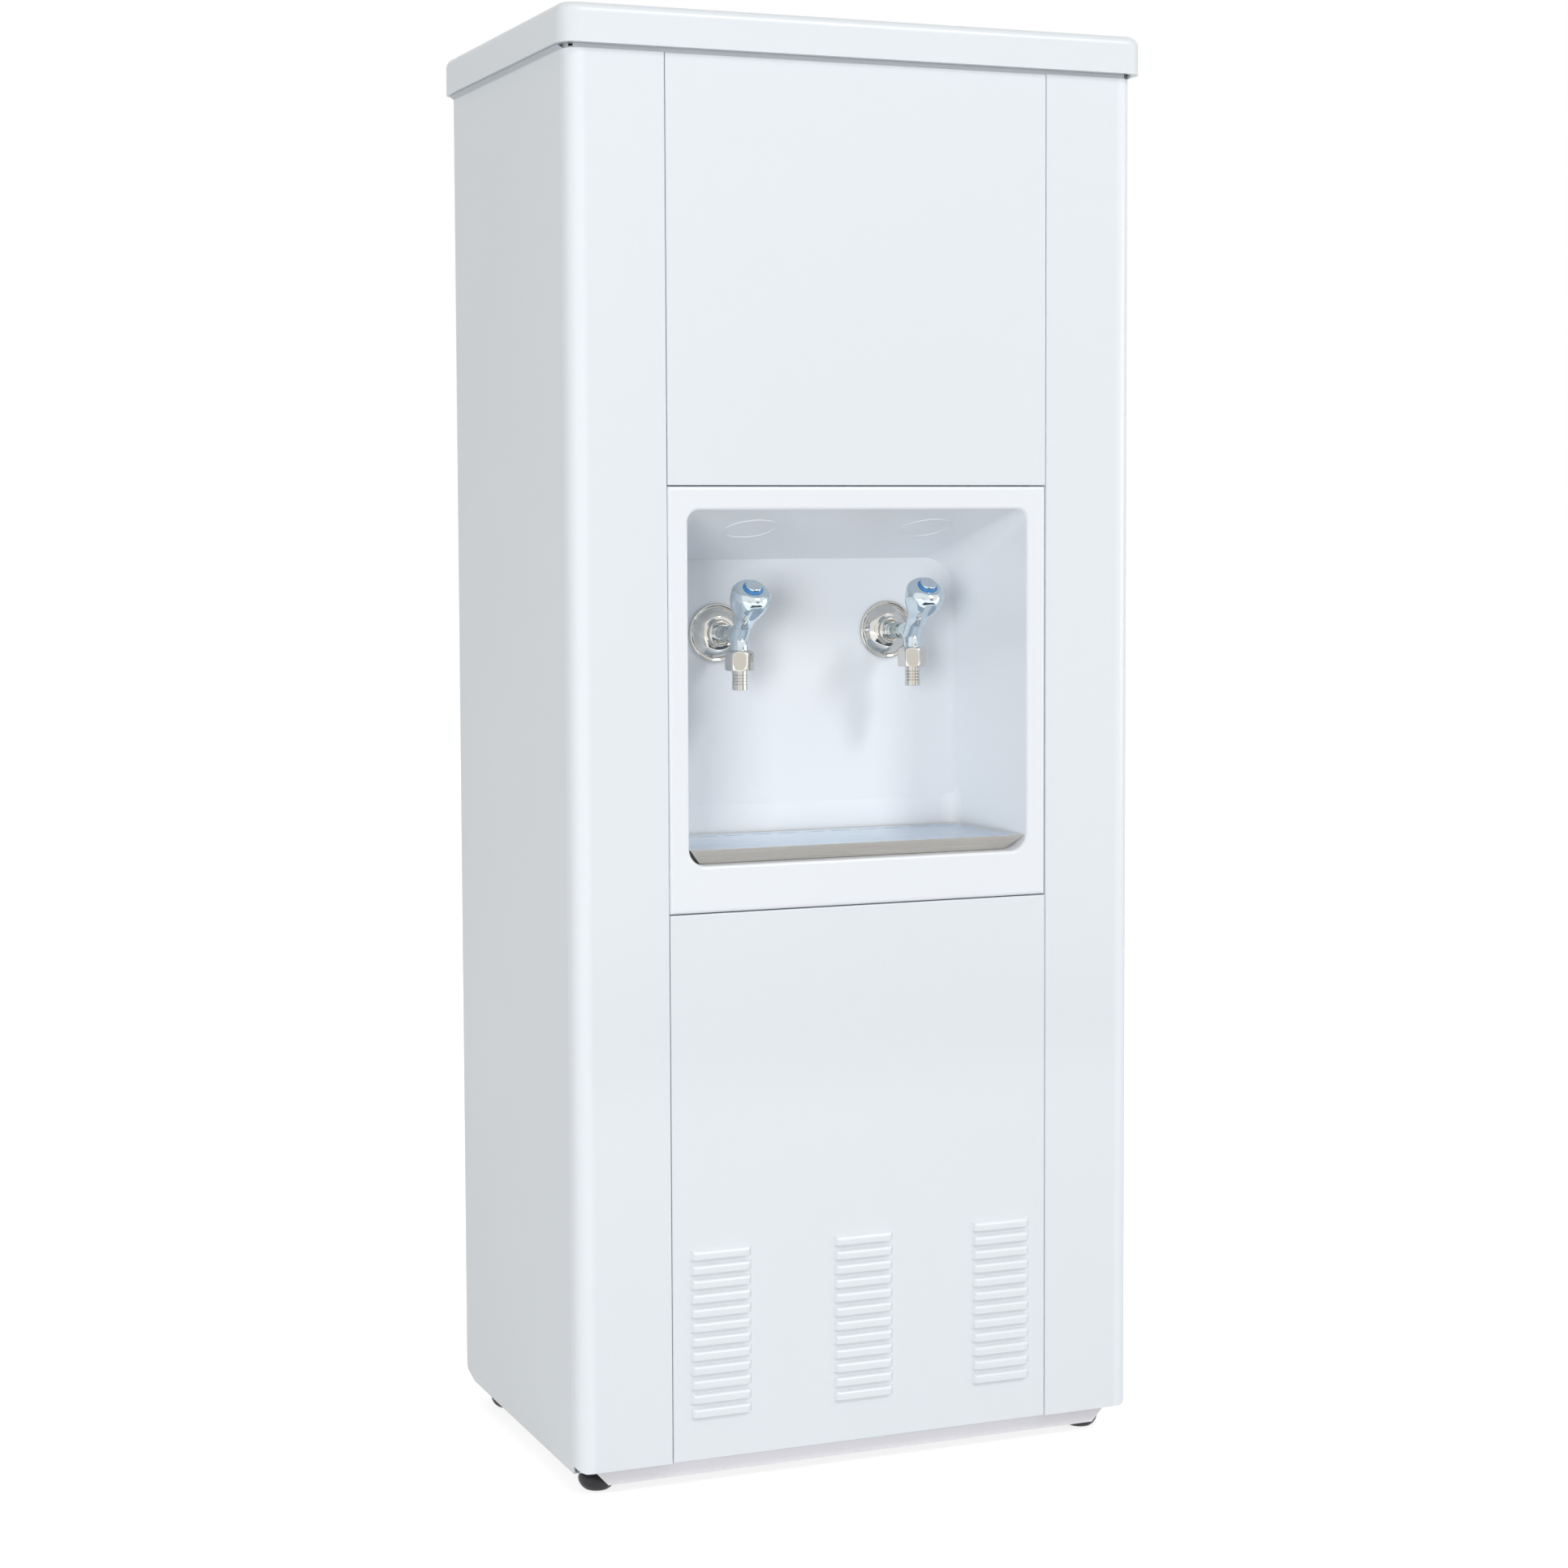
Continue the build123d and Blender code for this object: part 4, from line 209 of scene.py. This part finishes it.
def give(finish, *names):
    """Puts a finish on the material slots of CAD nodes."""
    for name in names:
        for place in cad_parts[name].material_slots:
            place.material = finish


chassis_grey = coated("satin_chassis_paint", "EDECF1", 0.42, cell=2.0, relief=0.03)
give(chassis_grey, "base_pan")


# Levelling feet: a dome of black rubber moulded on the head of an M8 steel stud, screwed up through the
# base. The rubber is matt, with a faint grain from its mould; the stud and lock nut are zinc plated.
def smooth_line(points, steps):
    """A Catmull-Rom curve through points in mm: between p1 and p2, at f from 0 to 1, half of
    2 p1 + (p2 - p0) f + (2 p0 - 5 p1 + 4 p2 - p3) f^2 + (3 p1 - p0 - 3 p2 + p3) f^3."""
    points = np.asarray(points, float)
    wide = np.vstack((2 * points[0] - points[1], points, 2 * points[-1] - points[-2]))
    along = np.linspace(0, len(points) - 1, (len(points) - 1) * steps + 1)
    index = np.minimum(along.astype(int), len(points) - 2)
    f = (along - index)[:, None]
    p0, p1, p2, p3 = (wide[index + step] for step in range(4))
    return 0.5 * (2 * p1 + (p2 - p0) * f + (2 * p0 - 5 * p1 + 4 * p2 - p3) * f ** 2
                  + (3 * p1 - p0 - 3 * p2 + p3) * f ** 3)


def skin(name, rings, finish, body, looped=False, sharp=40):
    """A closed piece over rings of points in mm, an array (ring, point, xyz) in which every ring runs round.
    A looped skin joins its last ring to its first; any other gets a fan of triangles at each end. Where
    the volume, the sum of a . (b x c) / 6 over the triangles, is negative, the faces are turned round."""
    count, around = rings.shape[:2]
    points = rings.reshape(-1, 3) / 1000
    ring, place = np.meshgrid(np.arange(count if looped else count - 1), np.arange(around), indexing="ij")
    after, beyond = (place + 1) % around, (ring + 1) % count
    near, far = ring * around, beyond * around
    quads = np.stack((near + place, near + after, far + after, far + place), axis=-1).reshape(-1, 4)
    fans = np.empty((0, 3), int)
    if not looped:
        edge = np.arange(around)
        following = (edge + 1) % around
        last = (count - 1) * around
        first_fan = np.stack((following, edge, np.full(around, len(points))), axis=-1)
        last_fan = np.stack((last + edge, last + following, np.full(around, len(points) + 1)), axis=-1)
        fans = np.vstack((first_fan, last_fan))
        points = np.vstack((points, points[:around].mean(0), points[last:].mean(0)))
    triangles = np.vstack((quads[:, :3], quads[:, [0, 2, 3]], fans))
    a, b, c = (points[triangles[:, corner]] for corner in range(3))
    if (a * np.cross(b, c)).sum() < 0:
        quads, fans = quads[:, ::-1], fans[:, ::-1]
    mesh = bpy.data.meshes.new(name)
    mesh.from_pydata(points.tolist(), [], quads.tolist() + fans.tolist())
    mesh.shade_smooth()
    mesh.set_sharp_from_angle(angle=math.radians(sharp))
    mesh.materials.append(finish)
    piece = bpy.data.objects.new(name, mesh)
    bpy.context.scene.collection.objects.link(piece)
    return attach(piece, body)


def turned(profile, centre, sides, direction=(0, 0, 1)):
    """Rings of a turned piece: each (radius, height) of its profile is a circle about an axis through
    the centre, radius times (cos a, sin a) across the axis and height along it."""
    profile = np.asarray(profile, float)
    axis = Vector(direction).normalized()
    across = Vector((1, 0, 0))
    other = axis.cross(across)
    angle = np.linspace(0, 2 * np.pi, sides, endpoint=False)[None, :, None]
    radius, height = profile[:, 0, None, None], profile[:, 1, None, None]
    circle = np.cos(angle) * np.array(across) + np.sin(angle) * np.array(other)
    return np.array(centre, float) + radius * circle + height * np.array(axis)


foot_rubber = coated("moulded_black_rubber", "26262A", 0.48, cell=1.2, relief=0.06, drift=0.15)
zinc_plate = coated("bright_zinc_plate", "BFC3C6", 0.3, cell=1.5, relief=0.01, drift=0.08, metallic=1.0)
foot_dome = np.vstack((
    [(0.01, 0.0), (9.6, 0.0)],
    smooth_line([(10.6, 0.25), (13.0, 2.2), (15.2, 5.6), (16.0, 9.0), (15.1, 12.2), (12.6, 15.4)], 6),
    smooth_line([(11.4, 16.2), (9.6, 17.2), (9.0, 19.0)], 4),
    [(9.0, 27.4), (8.4, 28.0), (4.1, 28.05)],
))
dome_sides = 64
thread_pitch = 1.25
thread_depth = 0.6
thread_rings = 6
thread_sides = 36
stud_start = 28.05
stud_radius = 4.0
stud_point = 1.2
point_shape = 0.3
for corner in ("front_left", "front_right", "rear_left", "rear_right"):
    node = "foot_" + corner
    low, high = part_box(node)
    centre = ((low.x + high.x) * 1000 / 2, (low.y + high.y) * 1000 / 2, 0)
    dome_rings = turned(foot_dome, centre, dome_sides)
    dome = skin("rubber_dome_" + corner, dome_rings, foot_rubber, corner + "_foot")
    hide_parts(node)
    # The thread is a triangle wave of the height less the pitch for each turn, cut into the stud, whose
    # point narrows by a power of a share that falls from 1 to a half
    heights = np.arange(stud_start, high.z * 1000 - 0.05, thread_pitch / thread_rings)
    stud = turned(np.stack((np.ones_like(heights), heights), axis=-1), centre, thread_sides)
    turn = np.arange(thread_sides) / thread_sides
    wave = np.abs(((heights[:, None] / thread_pitch - turn) % 1) - 0.5) * 2
    narrowing = np.clip((heights[-1] - heights) / stud_point, 0, 1)[:, None] * 0.5 + 0.5
    radius = (stud_radius * narrowing ** point_shape - thread_depth * wave)[:, :, None]
    stud[:, :, :2] = np.array(centre[:2]) + (stud[:, :, :2] - np.array(centre[:2])) * radius
    thread = skin("threaded_stud_" + corner, stud, zinc_plate, corner + "_foot", sharp=60)
    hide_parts(node)
give(zinc_plate, "foot_lock_nuts")

# Compressor: two drawn steel cups welded at a seam, on a plate with four rubber grommets, all in thick
# glossy black paint. A nylon cover snaps over its terminals.
compressor_black = coated("thick_black_gloss_paint", "141518", 0.22, cell=3.0, relief=0.05, drift=0.1)
give(compressor_black, "compressor_shell", "compressor_base_plate", "fan_motor")
give(coated("grommet_rubber", "1E1E20", 0.7, cell=0.8, relief=0.05), "compressor_grommets")
black_nylon = coated("moulded_black_nylon", "222326", 0.5, cell=0.8, relief=0.05, drift=0.08)
give(black_nylon, "compressor_terminal_cover")


# Condenser and fan: thin aluminium fins pressed on a copper tube, a galvanised plate with the fan's
# collar, and a moulded fan wheel. The fins have the faint upright lines of their rolled strip.
def metal(name, colour, dark, roughness, streak, width, relief=0.0):
    """A bare metal whose tone and gloss vary between two colours in streaks of a length and width in mm,
    given as (x, y, z) lengths: the longest ones lie the way that the metal was drawn or brushed."""
    made = bpy.data.materials.new(name)
    made.use_nodes = True
    tree = made.node_tree
    shader = tree.nodes["Principled BSDF"]
    shader.inputs["Metallic"].default_value = 1.0
    place = add(tree, "ShaderNodeTexCoord")
    lengths = tuple(1000.0 / length for length in streak)
    stretched = add(tree, "ShaderNodeMapping", Vector=(place, "Object"), Scale=lengths)
    streaks = add(tree, "ShaderNodeTexNoise", Vector=(stretched, 0), Scale=1.0, Detail=3.0)
    tones = add(tree, "ShaderNodeMapRange", _0=(streaks, 0), _1=0.5 - width, _2=0.5 + width)
    shade = add(
        tree, "ShaderNodeMix", {"data_type": "RGBA"}, _0=(tones, 0), _6=linear(dark), _7=linear(colour)
    )
    tree.links.new(shade.outputs[2], shader.inputs["Base Color"])
    rough = add(tree, "ShaderNodeMapRange", _0=(tones, 0), _3=roughness * 1.25, _4=roughness * 0.8)
    tree.links.new(rough.outputs[0], shader.inputs["Roughness"])
    if relief:
        bump = add(tree, "ShaderNodeBump", Height=(streaks, 0), Strength=0.6, Distance=relief / 1000)
        tree.links.new(bump.outputs[0], shader.inputs["Normal"])
    return made


give(metal("rolled_aluminium_fins", "D2D4D6", "A6A9AC", 0.32, (3, 3, 60), 0.25), "condenser_fin_pack")
drawn_copper = metal("drawn_copper_tube", "D08A63", "9A5A40", 0.28, (12, 12, 12), 0.2, relief=0.01)
give(drawn_copper, "condenser_tubes", "filter_drier", "refrigerant_pipes", "evaporator_coil", "inlet_pipe")
grey_plastic = coated("moulded_grey_polypropylene", "8E9296", 0.45, cell=1.0, relief=0.03, drift=0.04)
give(grey_plastic, "fan_blades")

# Galvanised sheet: steel dipped in zinc, which freezes in flat crystals of about 9 mm, each with its own
# tone and gloss. The fan's plate, the tank's shelf and the back panel are folded or cut from it.
galvanised = bpy.data.materials.new("hot_dipped_zinc_sheet")
galvanised.use_nodes = True
tree = galvanised.node_tree
shader = tree.nodes["Principled BSDF"]
shader.inputs["Metallic"].default_value = 1.0
place = add(tree, "ShaderNodeTexCoord")
crystal_size = 9.0
crystal_warp = 0.006
warp = add(tree, "ShaderNodeTexNoise", Vector=(place, "Object"), Scale=120.0, Detail=2.0)
bent = add(tree, "ShaderNodeVectorMath", {"operation": "MULTIPLY_ADD"},
           _0=(warp, 1), _1=(crystal_warp, crystal_warp, crystal_warp), _2=(place, "Object"))
crystals = add(tree, "ShaderNodeTexVoronoi", Vector=(bent, 0), Scale=1000.0 / crystal_size)
tone = add(tree, "ShaderNodeSeparateColor", Color=(crystals, "Color"))
shade = add(tree, "ShaderNodeMix", {"data_type": "RGBA"},
            _0=(tone, 0), _6=linear("A9AEB2"), _7=linear("C2C7CA"))
tree.links.new(shade.outputs[2], shader.inputs["Base Color"])
rough = add(tree, "ShaderNodeMapRange", _0=(tone, 1), _3=0.3, _4=0.52)
tree.links.new(rough.outputs[0], shader.inputs["Roughness"])
give(galvanised, "fan_shroud", "tank_shelf", "back_panel")

# Side panels and front panels: 1.2 mm steel sheet, folded, with the louvres cut and pressed outwards.
# The powder coating is a bluish white that melts to an even gloss with a very fine orange peel.
enamel = coated("powder_coated_steel", "E7EDF1", 0.3, cell=2.2, relief=0.012, drift=0.008)
give(enamel, "upper_front_panel", "lower_front_panel")

# A painted highlight makes the sheet whiter on the bend between side and front, where the round corner
# catches the light. Painted shade makes the flared strip under the lid greyer, where it faces down.
side_enamel = coated("powder_coated_side_sheet", "E7EDF1", 0.3, cell=2.2, relief=0.012, drift=0.008)
tree = side_enamel.node_tree
shader = tree.nodes["Principled BSDF"]
coat = shader.inputs["Base Color"].links[0].from_socket
place = add(tree, "ShaderNodeTexCoord")
parts = add(tree, "ShaderNodeSeparateXYZ", Vector=(place, "Object"))
bend_outwards = (0.2455, 0.2500)
bend_forwards = (-0.1535, -0.1560)
flare_upwards = (1.2128, 1.2142)
outwards = add(tree, "ShaderNodeMath", {"operation": "ABSOLUTE"}, _0=(parts, "X"))
outer_part = add(tree, "ShaderNodeMapRange", _0=(outwards, 0), _1=bend_outwards[0], _2=bend_outwards[1])
front_part = add(tree, "ShaderNodeMapRange", _0=(parts, "Y"), _1=bend_forwards[0], _2=bend_forwards[1])
bend = add(tree, "ShaderNodeMath", {"operation": "MULTIPLY"}, _0=(outer_part, 0), _1=(front_part, 0))
# Painted highlight: the bend between side and front is lightened towards this colour
bend_highlight_colour = linear("EEF3F8")
bend_highlight = add(tree, "ShaderNodeMix", {"data_type": "RGBA"}, _0=(bend, 0), _6=(coat.node, 2), _7=bend_highlight_colour)
flare = add(tree, "ShaderNodeMapRange", _0=(parts, "Z"), _1=flare_upwards[0], _2=flare_upwards[1])
# Painted shade: the flared strip under the lid is darkened towards this colour
flare_shade_colour = linear("B9BFC8")
flare_shade = add(tree, "ShaderNodeMix", {"data_type": "RGBA"}, _0=(flare, 0), _6=(bend_highlight, 2), _7=flare_shade_colour)
tree.links.new(flare_shade.outputs[2], shader.inputs["Base Color"])
give(side_enamel, "left_side_panel", "right_side_panel")

# Tap recess: one sheet of white ABS, heated and drawn down into a mould, which gives it rolled edges, a
# glossy face and a faint waviness. It is a touch lighter than the panels.
white_abs = coated("vacuum_formed_abs", "EFF3F8", 0.24, cell=18.0, relief=0.05, drift=0.008)
give(white_abs, "tap_recess")

# Tank: drawn and welded stainless steel in poured polyurethane foam, with its loose cover above it.
stainless = metal("drawn_stainless_sheet", "CFCFCD", "A9A9A8", 0.26, (80, 80, 2), 0.25)
give(stainless, "storage_tank", "tank_cover")
foam = coated("poured_polyurethane_foam", "E6D9A8", 0.9, cell=3.0, relief=0.8, drift=0.1)
give(foam, "tank_insulation", "lid_insulation")

# Float valve and inlet: turned and bored brass, and a blown float of off-white plastic.
turned_brass = metal("turned_brass", "D9BC72", "B08F4C", 0.24, (6, 1.2, 1.2), 0.25)
give(turned_brass, "float_valve", "float_arm", "inlet_fitting", "tap_bonnets", "tap_back_nuts")
give(coated("blown_float_polythene", "E6E6E0", 0.35, cell=6.0, relief=0.05), "float_ball")

# Hoses: soft milky silicone, extruded, from the tank to the taps and from the recess to the drain.
give(coated("extruded_milky_silicone", "DADDD9", 0.38, cell=4.0, relief=0.03, drift=0.03),
     "left_tap_hose", "right_tap_hose", "drain_hose")


# Taps: cast and turned brass, ground, polished, and plated with nickel and bright chrome. The plating
# follows the slight waves that the polishing wheel leaves, so that its reflections are a little uneven.
def blended(first, second, width):
    """The lower of two surfaces a and b, with their crease rounded over a width w in mm:
    -w log(e^(-a/w) + e^(-b/w))."""
    return -width * np.logaddexp(-first / width, -second / width)


def plated(name, colour):
    """Bright plating of a tone: gloss that varies in a haze, and waves 7 mm long and 0.06 mm high."""
    made = bpy.data.materials.new(name)
    made.use_nodes = True
    tree = made.node_tree
    shader = tree.nodes["Principled BSDF"]
    shader.inputs["Metallic"].default_value = 1.0
    shader.inputs["Base Color"].default_value = linear(colour)
    place = add(tree, "ShaderNodeTexCoord")
    haze = add(tree, "ShaderNodeTexNoise", Vector=(place, "Object"), Scale=140.0, Detail=2.0)
    rough = add(tree, "ShaderNodeMapRange", _0=(haze, 0), _3=0.035, _4=0.085)
    tree.links.new(rough.outputs[0], shader.inputs["Roughness"])
    waves = add(tree, "ShaderNodeTexNoise", Vector=(place, "Object"), Scale=1000.0 / 7.0, Detail=0.0)
    bump = add(tree, "ShaderNodeBump", Height=(waves, 0), Strength=0.5, Distance=0.00006)
    tree.links.new(bump.outputs[0], shader.inputs["Normal"])
    return made


chrome = plated("polished_chrome_plate", "D8E3E9")
warm_chrome = plated("warm_chrome_plate", "D9D7D2")
blue_plastic = coated("moulded_blue_acrylic", "3B80BC", 0.2, cell=3.0, relief=0.01, drift=0.03)
give(chrome, "left_tap_body", "right_tap_body")

recess_back_y = -38.25
tap_z = 727.0
spout_y = -95.25
head_angle = math.radians(52)
head_way = np.array((0, -math.cos(head_angle), math.sin(head_angle)))
handle_start = 12.0
union_bottom_z = 695.8

# The rosette's section runs from its foot over a round bead, a valley and a dome to its hub
rosette_seat = 0.1
rosette_sides = 96
rosette_line = np.vstack((
    [(7.95, 0.0), (26.3, 0.0)],
    smooth_line([(26.5, 0.4), (26.2, 2.2), (25.0, 3.1), (23.6, 2.7), (22.9, 2.3), (21.6, 3.6),
                 (18.6, 6.6), (15.2, 8.8), (12.2, 9.6)], 6),
    smooth_line([(12.0, 10.0), (11.6, 11.7), (10.6, 12.5)], 4),
    [(9.0, 12.6), (7.95, 12.6)],
))

# The handle's outline is a narrow neck, a wide shoulder and a shallow face, with a raised button
handle_line = np.vstack((
    [(0.01, 0.0), (8.5, 0.0)],
    smooth_line([(8.8, 0.3), (9.4, 4.0), (11.2, 10.0), (14.2, 17.0), (17.0, 24.0), (18.0, 29.5),
                 (17.3, 34.0), (15.2, 37.6), (12.6, 39.4), (10.4, 39.9)], 8),
    [(9.4, 40.0), (7.35, 40.0), (7.35, 43.6)],
    smooth_line([(7.1, 43.95), (5.0, 44.25), (2.5, 44.42), (0.01, 44.48)], 4),
))
handle_sides = 144
shoulder_radius = 18.0
flute_count = 6
flute_radius = 14.0
flute_depth = 1.4
flute_foot = 9.1
flute_top = 31.0
flute_run_out = 0.35
flute_end = 38.0
flute_edge = 0.45
core_radius = 8.6
past_the_handle = 60.0
collar_sides = 72
index_section = [(7.42, 39.0), (9.2, 39.0), (9.2, 40.0), (9.0, 40.5), (8.1, 42.4), (7.8, 42.75), (7.42, 42.6)]

# A union nut is the lower of a hexagon, half its flats over the cosine from the nearest flat, and an
# envelope that rounds its foot and shoulder
union_sides = 120
union_flats = 23.0
union_edge = 0.45
union_bore_limit = 9.0
union_turn = math.radians(37)
union_line = np.vstack((
    [(7.15, 0.0), (11.9, 0.0)],
    smooth_line([(12.4, 0.2), (13.28, 1.0)], 3),
    [(13.4, 6.0), (13.4, 12.0)],
    smooth_line([(13.2, 12.6), (12.4, 15.4), (10.9, 17.3), (9.4, 18.0)], 5),
    [(7.9, 18.0), (7.9, 1.5)],
))
tail_sides = 64
tail_radius = 6.9
groove_count = 4
groove_pitch = 2.6
first_groove = -12.5
tail_line = [(4.0, -17.0), (6.6, -17.0), (tail_radius, -16.7), (tail_radius, first_groove)]
tail_line += [
    (tail_radius - drop, first_groove + groove_pitch * groove + rise)
    for groove in range(groove_count)
    for drop, rise in ((0.0, 0.1), (0.6, 0.5), (0.7, 0.7), (0.6, 0.9), (0.0, 1.3))
]
tail_line += [(tail_radius, 1.6), (7.8, 1.6), (7.8, 3.8), (4.0, 3.8)]

for side, tap_x in (("left", -83.0), ("right", 83.0)):
    wall = (tap_x, recess_back_y - rosette_seat, tap_z)
    dish = turned(rosette_line, wall, rosette_sides, (0, -1, 0))
    rosette = skin(side + "_rosette", dish, warm_chrome, "cabinet", looped=True)
    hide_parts("tap_rosettes")

    # A flute is a circle beside the handle, nearer to the axis at the foot than at the shoulder. Along a
    # ray at an angle from the flute's middle it stands at d cos a - sqrt(r^2 - (d sin a)^2).
    foot = np.array((tap_x, spout_y, tap_z)) + head_way * handle_start
    handle = turned(handle_line, (0, 0, 0), handle_sides)
    angle = np.linspace(0, 2 * np.pi, handle_sides, endpoint=False)[None, :]
    radius, height = handle_line[:, 0, None], handle_line[:, 1, None]
    step = 2 * np.pi / flute_count
    from_flute = (angle % step) - step / 2
    rise = np.clip(height / flute_top, 0, None)
    flute_distance = flute_foot + (shoulder_radius - flute_depth - flute_foot) * rise + flute_radius
    reach = np.clip(flute_radius ** 2 - (flute_distance * np.sin(from_flute)) ** 2, 0, None)
    flute = flute_distance * np.cos(from_flute) - np.sqrt(reach)
    over_top = np.clip(height - flute_top, 0, None)
    flute = flute + over_top ** 2 * flute_run_out
    outside = (reach <= 0) | (height > flute_end)
    flute = np.where(outside, past_the_handle, flute)
    cut = blended(np.broadcast_to(radius, flute.shape), flute, flute_edge)
    cut = np.where(radius > core_radius, cut, radius)
    handle[:, :, 0] = cut * np.cos(angle)
    handle[:, :, 1] = cut * np.sin(angle)
    tilt = np.array(((1, 0, 0), np.cross(head_way, (1, 0, 0)), head_way))
    handle = skin(side + "_tulip_handle", foot + handle @ tilt, chrome, side + "_handle", sharp=50)
    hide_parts(side + "_tap_handle")
    collar = turned(index_section, foot, collar_sides, tuple(head_way))
    index = skin(side + "_index_collar", collar, blue_plastic, side + "_handle", looped=True)
    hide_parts(side + "_tap_index")

    under = (tap_x, spout_y, union_bottom_z)
    nut = turned(union_line, under, union_sides)
    across = np.linspace(0, 2 * np.pi, union_sides, endpoint=False)[None, :]
    from_flat = (across - union_turn) % (np.pi / 3) - np.pi / 6
    hexagon = union_flats / 2 / np.cos(from_flat)
    line_radius = union_line[:, 0, None]
    outer = blended(np.broadcast_to(line_radius, (len(union_line), union_sides)), hexagon, union_edge)
    outer = np.where(line_radius > union_bore_limit, outer, line_radius)
    nut[:, :, 0] = tap_x + outer * np.cos(across)
    nut[:, :, 1] = spout_y + outer * np.sin(across)
    nut = skin(side + "_union_nut", nut, warm_chrome, "cabinet", looped=True, sharp=30)
    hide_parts("tap_union_nuts")

    ribs = turned(tail_line, under, tail_sides)
    tail = skin(side + "_ribbed_nozzle", ribs, warm_chrome, "cabinet", looped=True, sharp=35)
    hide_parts(side + "_hose_tail")

# Drip tray: a shallow pan and a flat slotted cover, pressed from 0.8 mm stainless sheet. Its brushed
# lines run from side to side, drawn here 0.6 mm apart so that they show.
give(metal("brushed_stainless_sheet", "F0ECE6", "D5D1CA", 0.3, (70, 0.6, 0.6), 0.3, relief=0.004),
     "drip_tray")
give(metal("brushed_stainless_cover", "DBE6F0", "BCC6D0", 0.3, (70, 0.6, 0.6), 0.3, relief=0.004),
     "drip_tray_cover")

# Rear fittings: grey nylon drain spigot, black gland, thermostat with its ribbed knob, and the box for
# the mains; pan-head screws hold the back.
give(grey_plastic, "drain_outlet", "thermostat_body")
give(black_nylon, "terminal_box", "cable_gland", "thermostat_knob")
give(zinc_plate, "panel_screws")

# Top frame and lid: a frame of folded angle in light grey paint, and a lid pressed from sheet, with a
# broad round edge and the same white powder coat as the panels.
give(coated("light_grey_frame_paint", "C2C8CE", 0.45, cell=2.0, relief=0.02), "top_frame")
give(enamel, "top_lid")


# Lid seal: a strip of grey foam rubber, glued inside the lid's lower edge, that closes the space round the
# frame's neck. It is 1 mm thick and stays 0.2 mm clear of the neck when the lid is lifted.
def rounded_oblong(half_x, half_y, radius, height, steps):
    """Points round an oblong with round corners: a corner's centre plus radius times (cos a, sin a)."""
    points = []
    for quarter, (x, y) in enumerate(((1, 1), (-1, 1), (-1, -1), (1, -1))):
        angle = math.radians(90) * (quarter + np.linspace(0, 1, steps))
        level = np.full(steps, float(height))
        points.append(np.stack((x * (half_x - radius) + radius * np.cos(angle),
                                y * (half_y - radius) + radius * np.sin(angle), level), axis=-1))
    return np.vstack(points)


foam_rubber = coated("grey_foam_rubber", "C6CBD1", 0.85, cell=0.7, relief=0.08, drift=0.05)
lid_low, lid_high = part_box("top_lid")
neck_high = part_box("top_frame")[1]
seal_clearance = 0.2
lid_edge_width = 6.05
seal_lift = 0.1
seal_thickness = 1.0
inner_corner = 11.4
outer_corner = 9.95
inner_edge = (neck_high.x * 1000 + seal_clearance, neck_high.y * 1000 + seal_clearance, inner_corner)
outer_edge = (lid_high.x * 1000 - lid_edge_width, lid_high.y * 1000 - lid_edge_width, outer_corner)
seal_bottom = lid_low.z * 1000 + seal_lift
seal_top = seal_bottom + seal_thickness
corner_steps = 12
seal_section = np.stack([
    rounded_oblong(*edge, height, corner_steps)
    for edge, height in (
        (inner_edge, seal_bottom), (outer_edge, seal_bottom), (outer_edge, seal_top), (inner_edge, seal_top)
    )
], axis=1)
skin("lid_seal", seal_section, foam_rubber, "lid", looped=True)
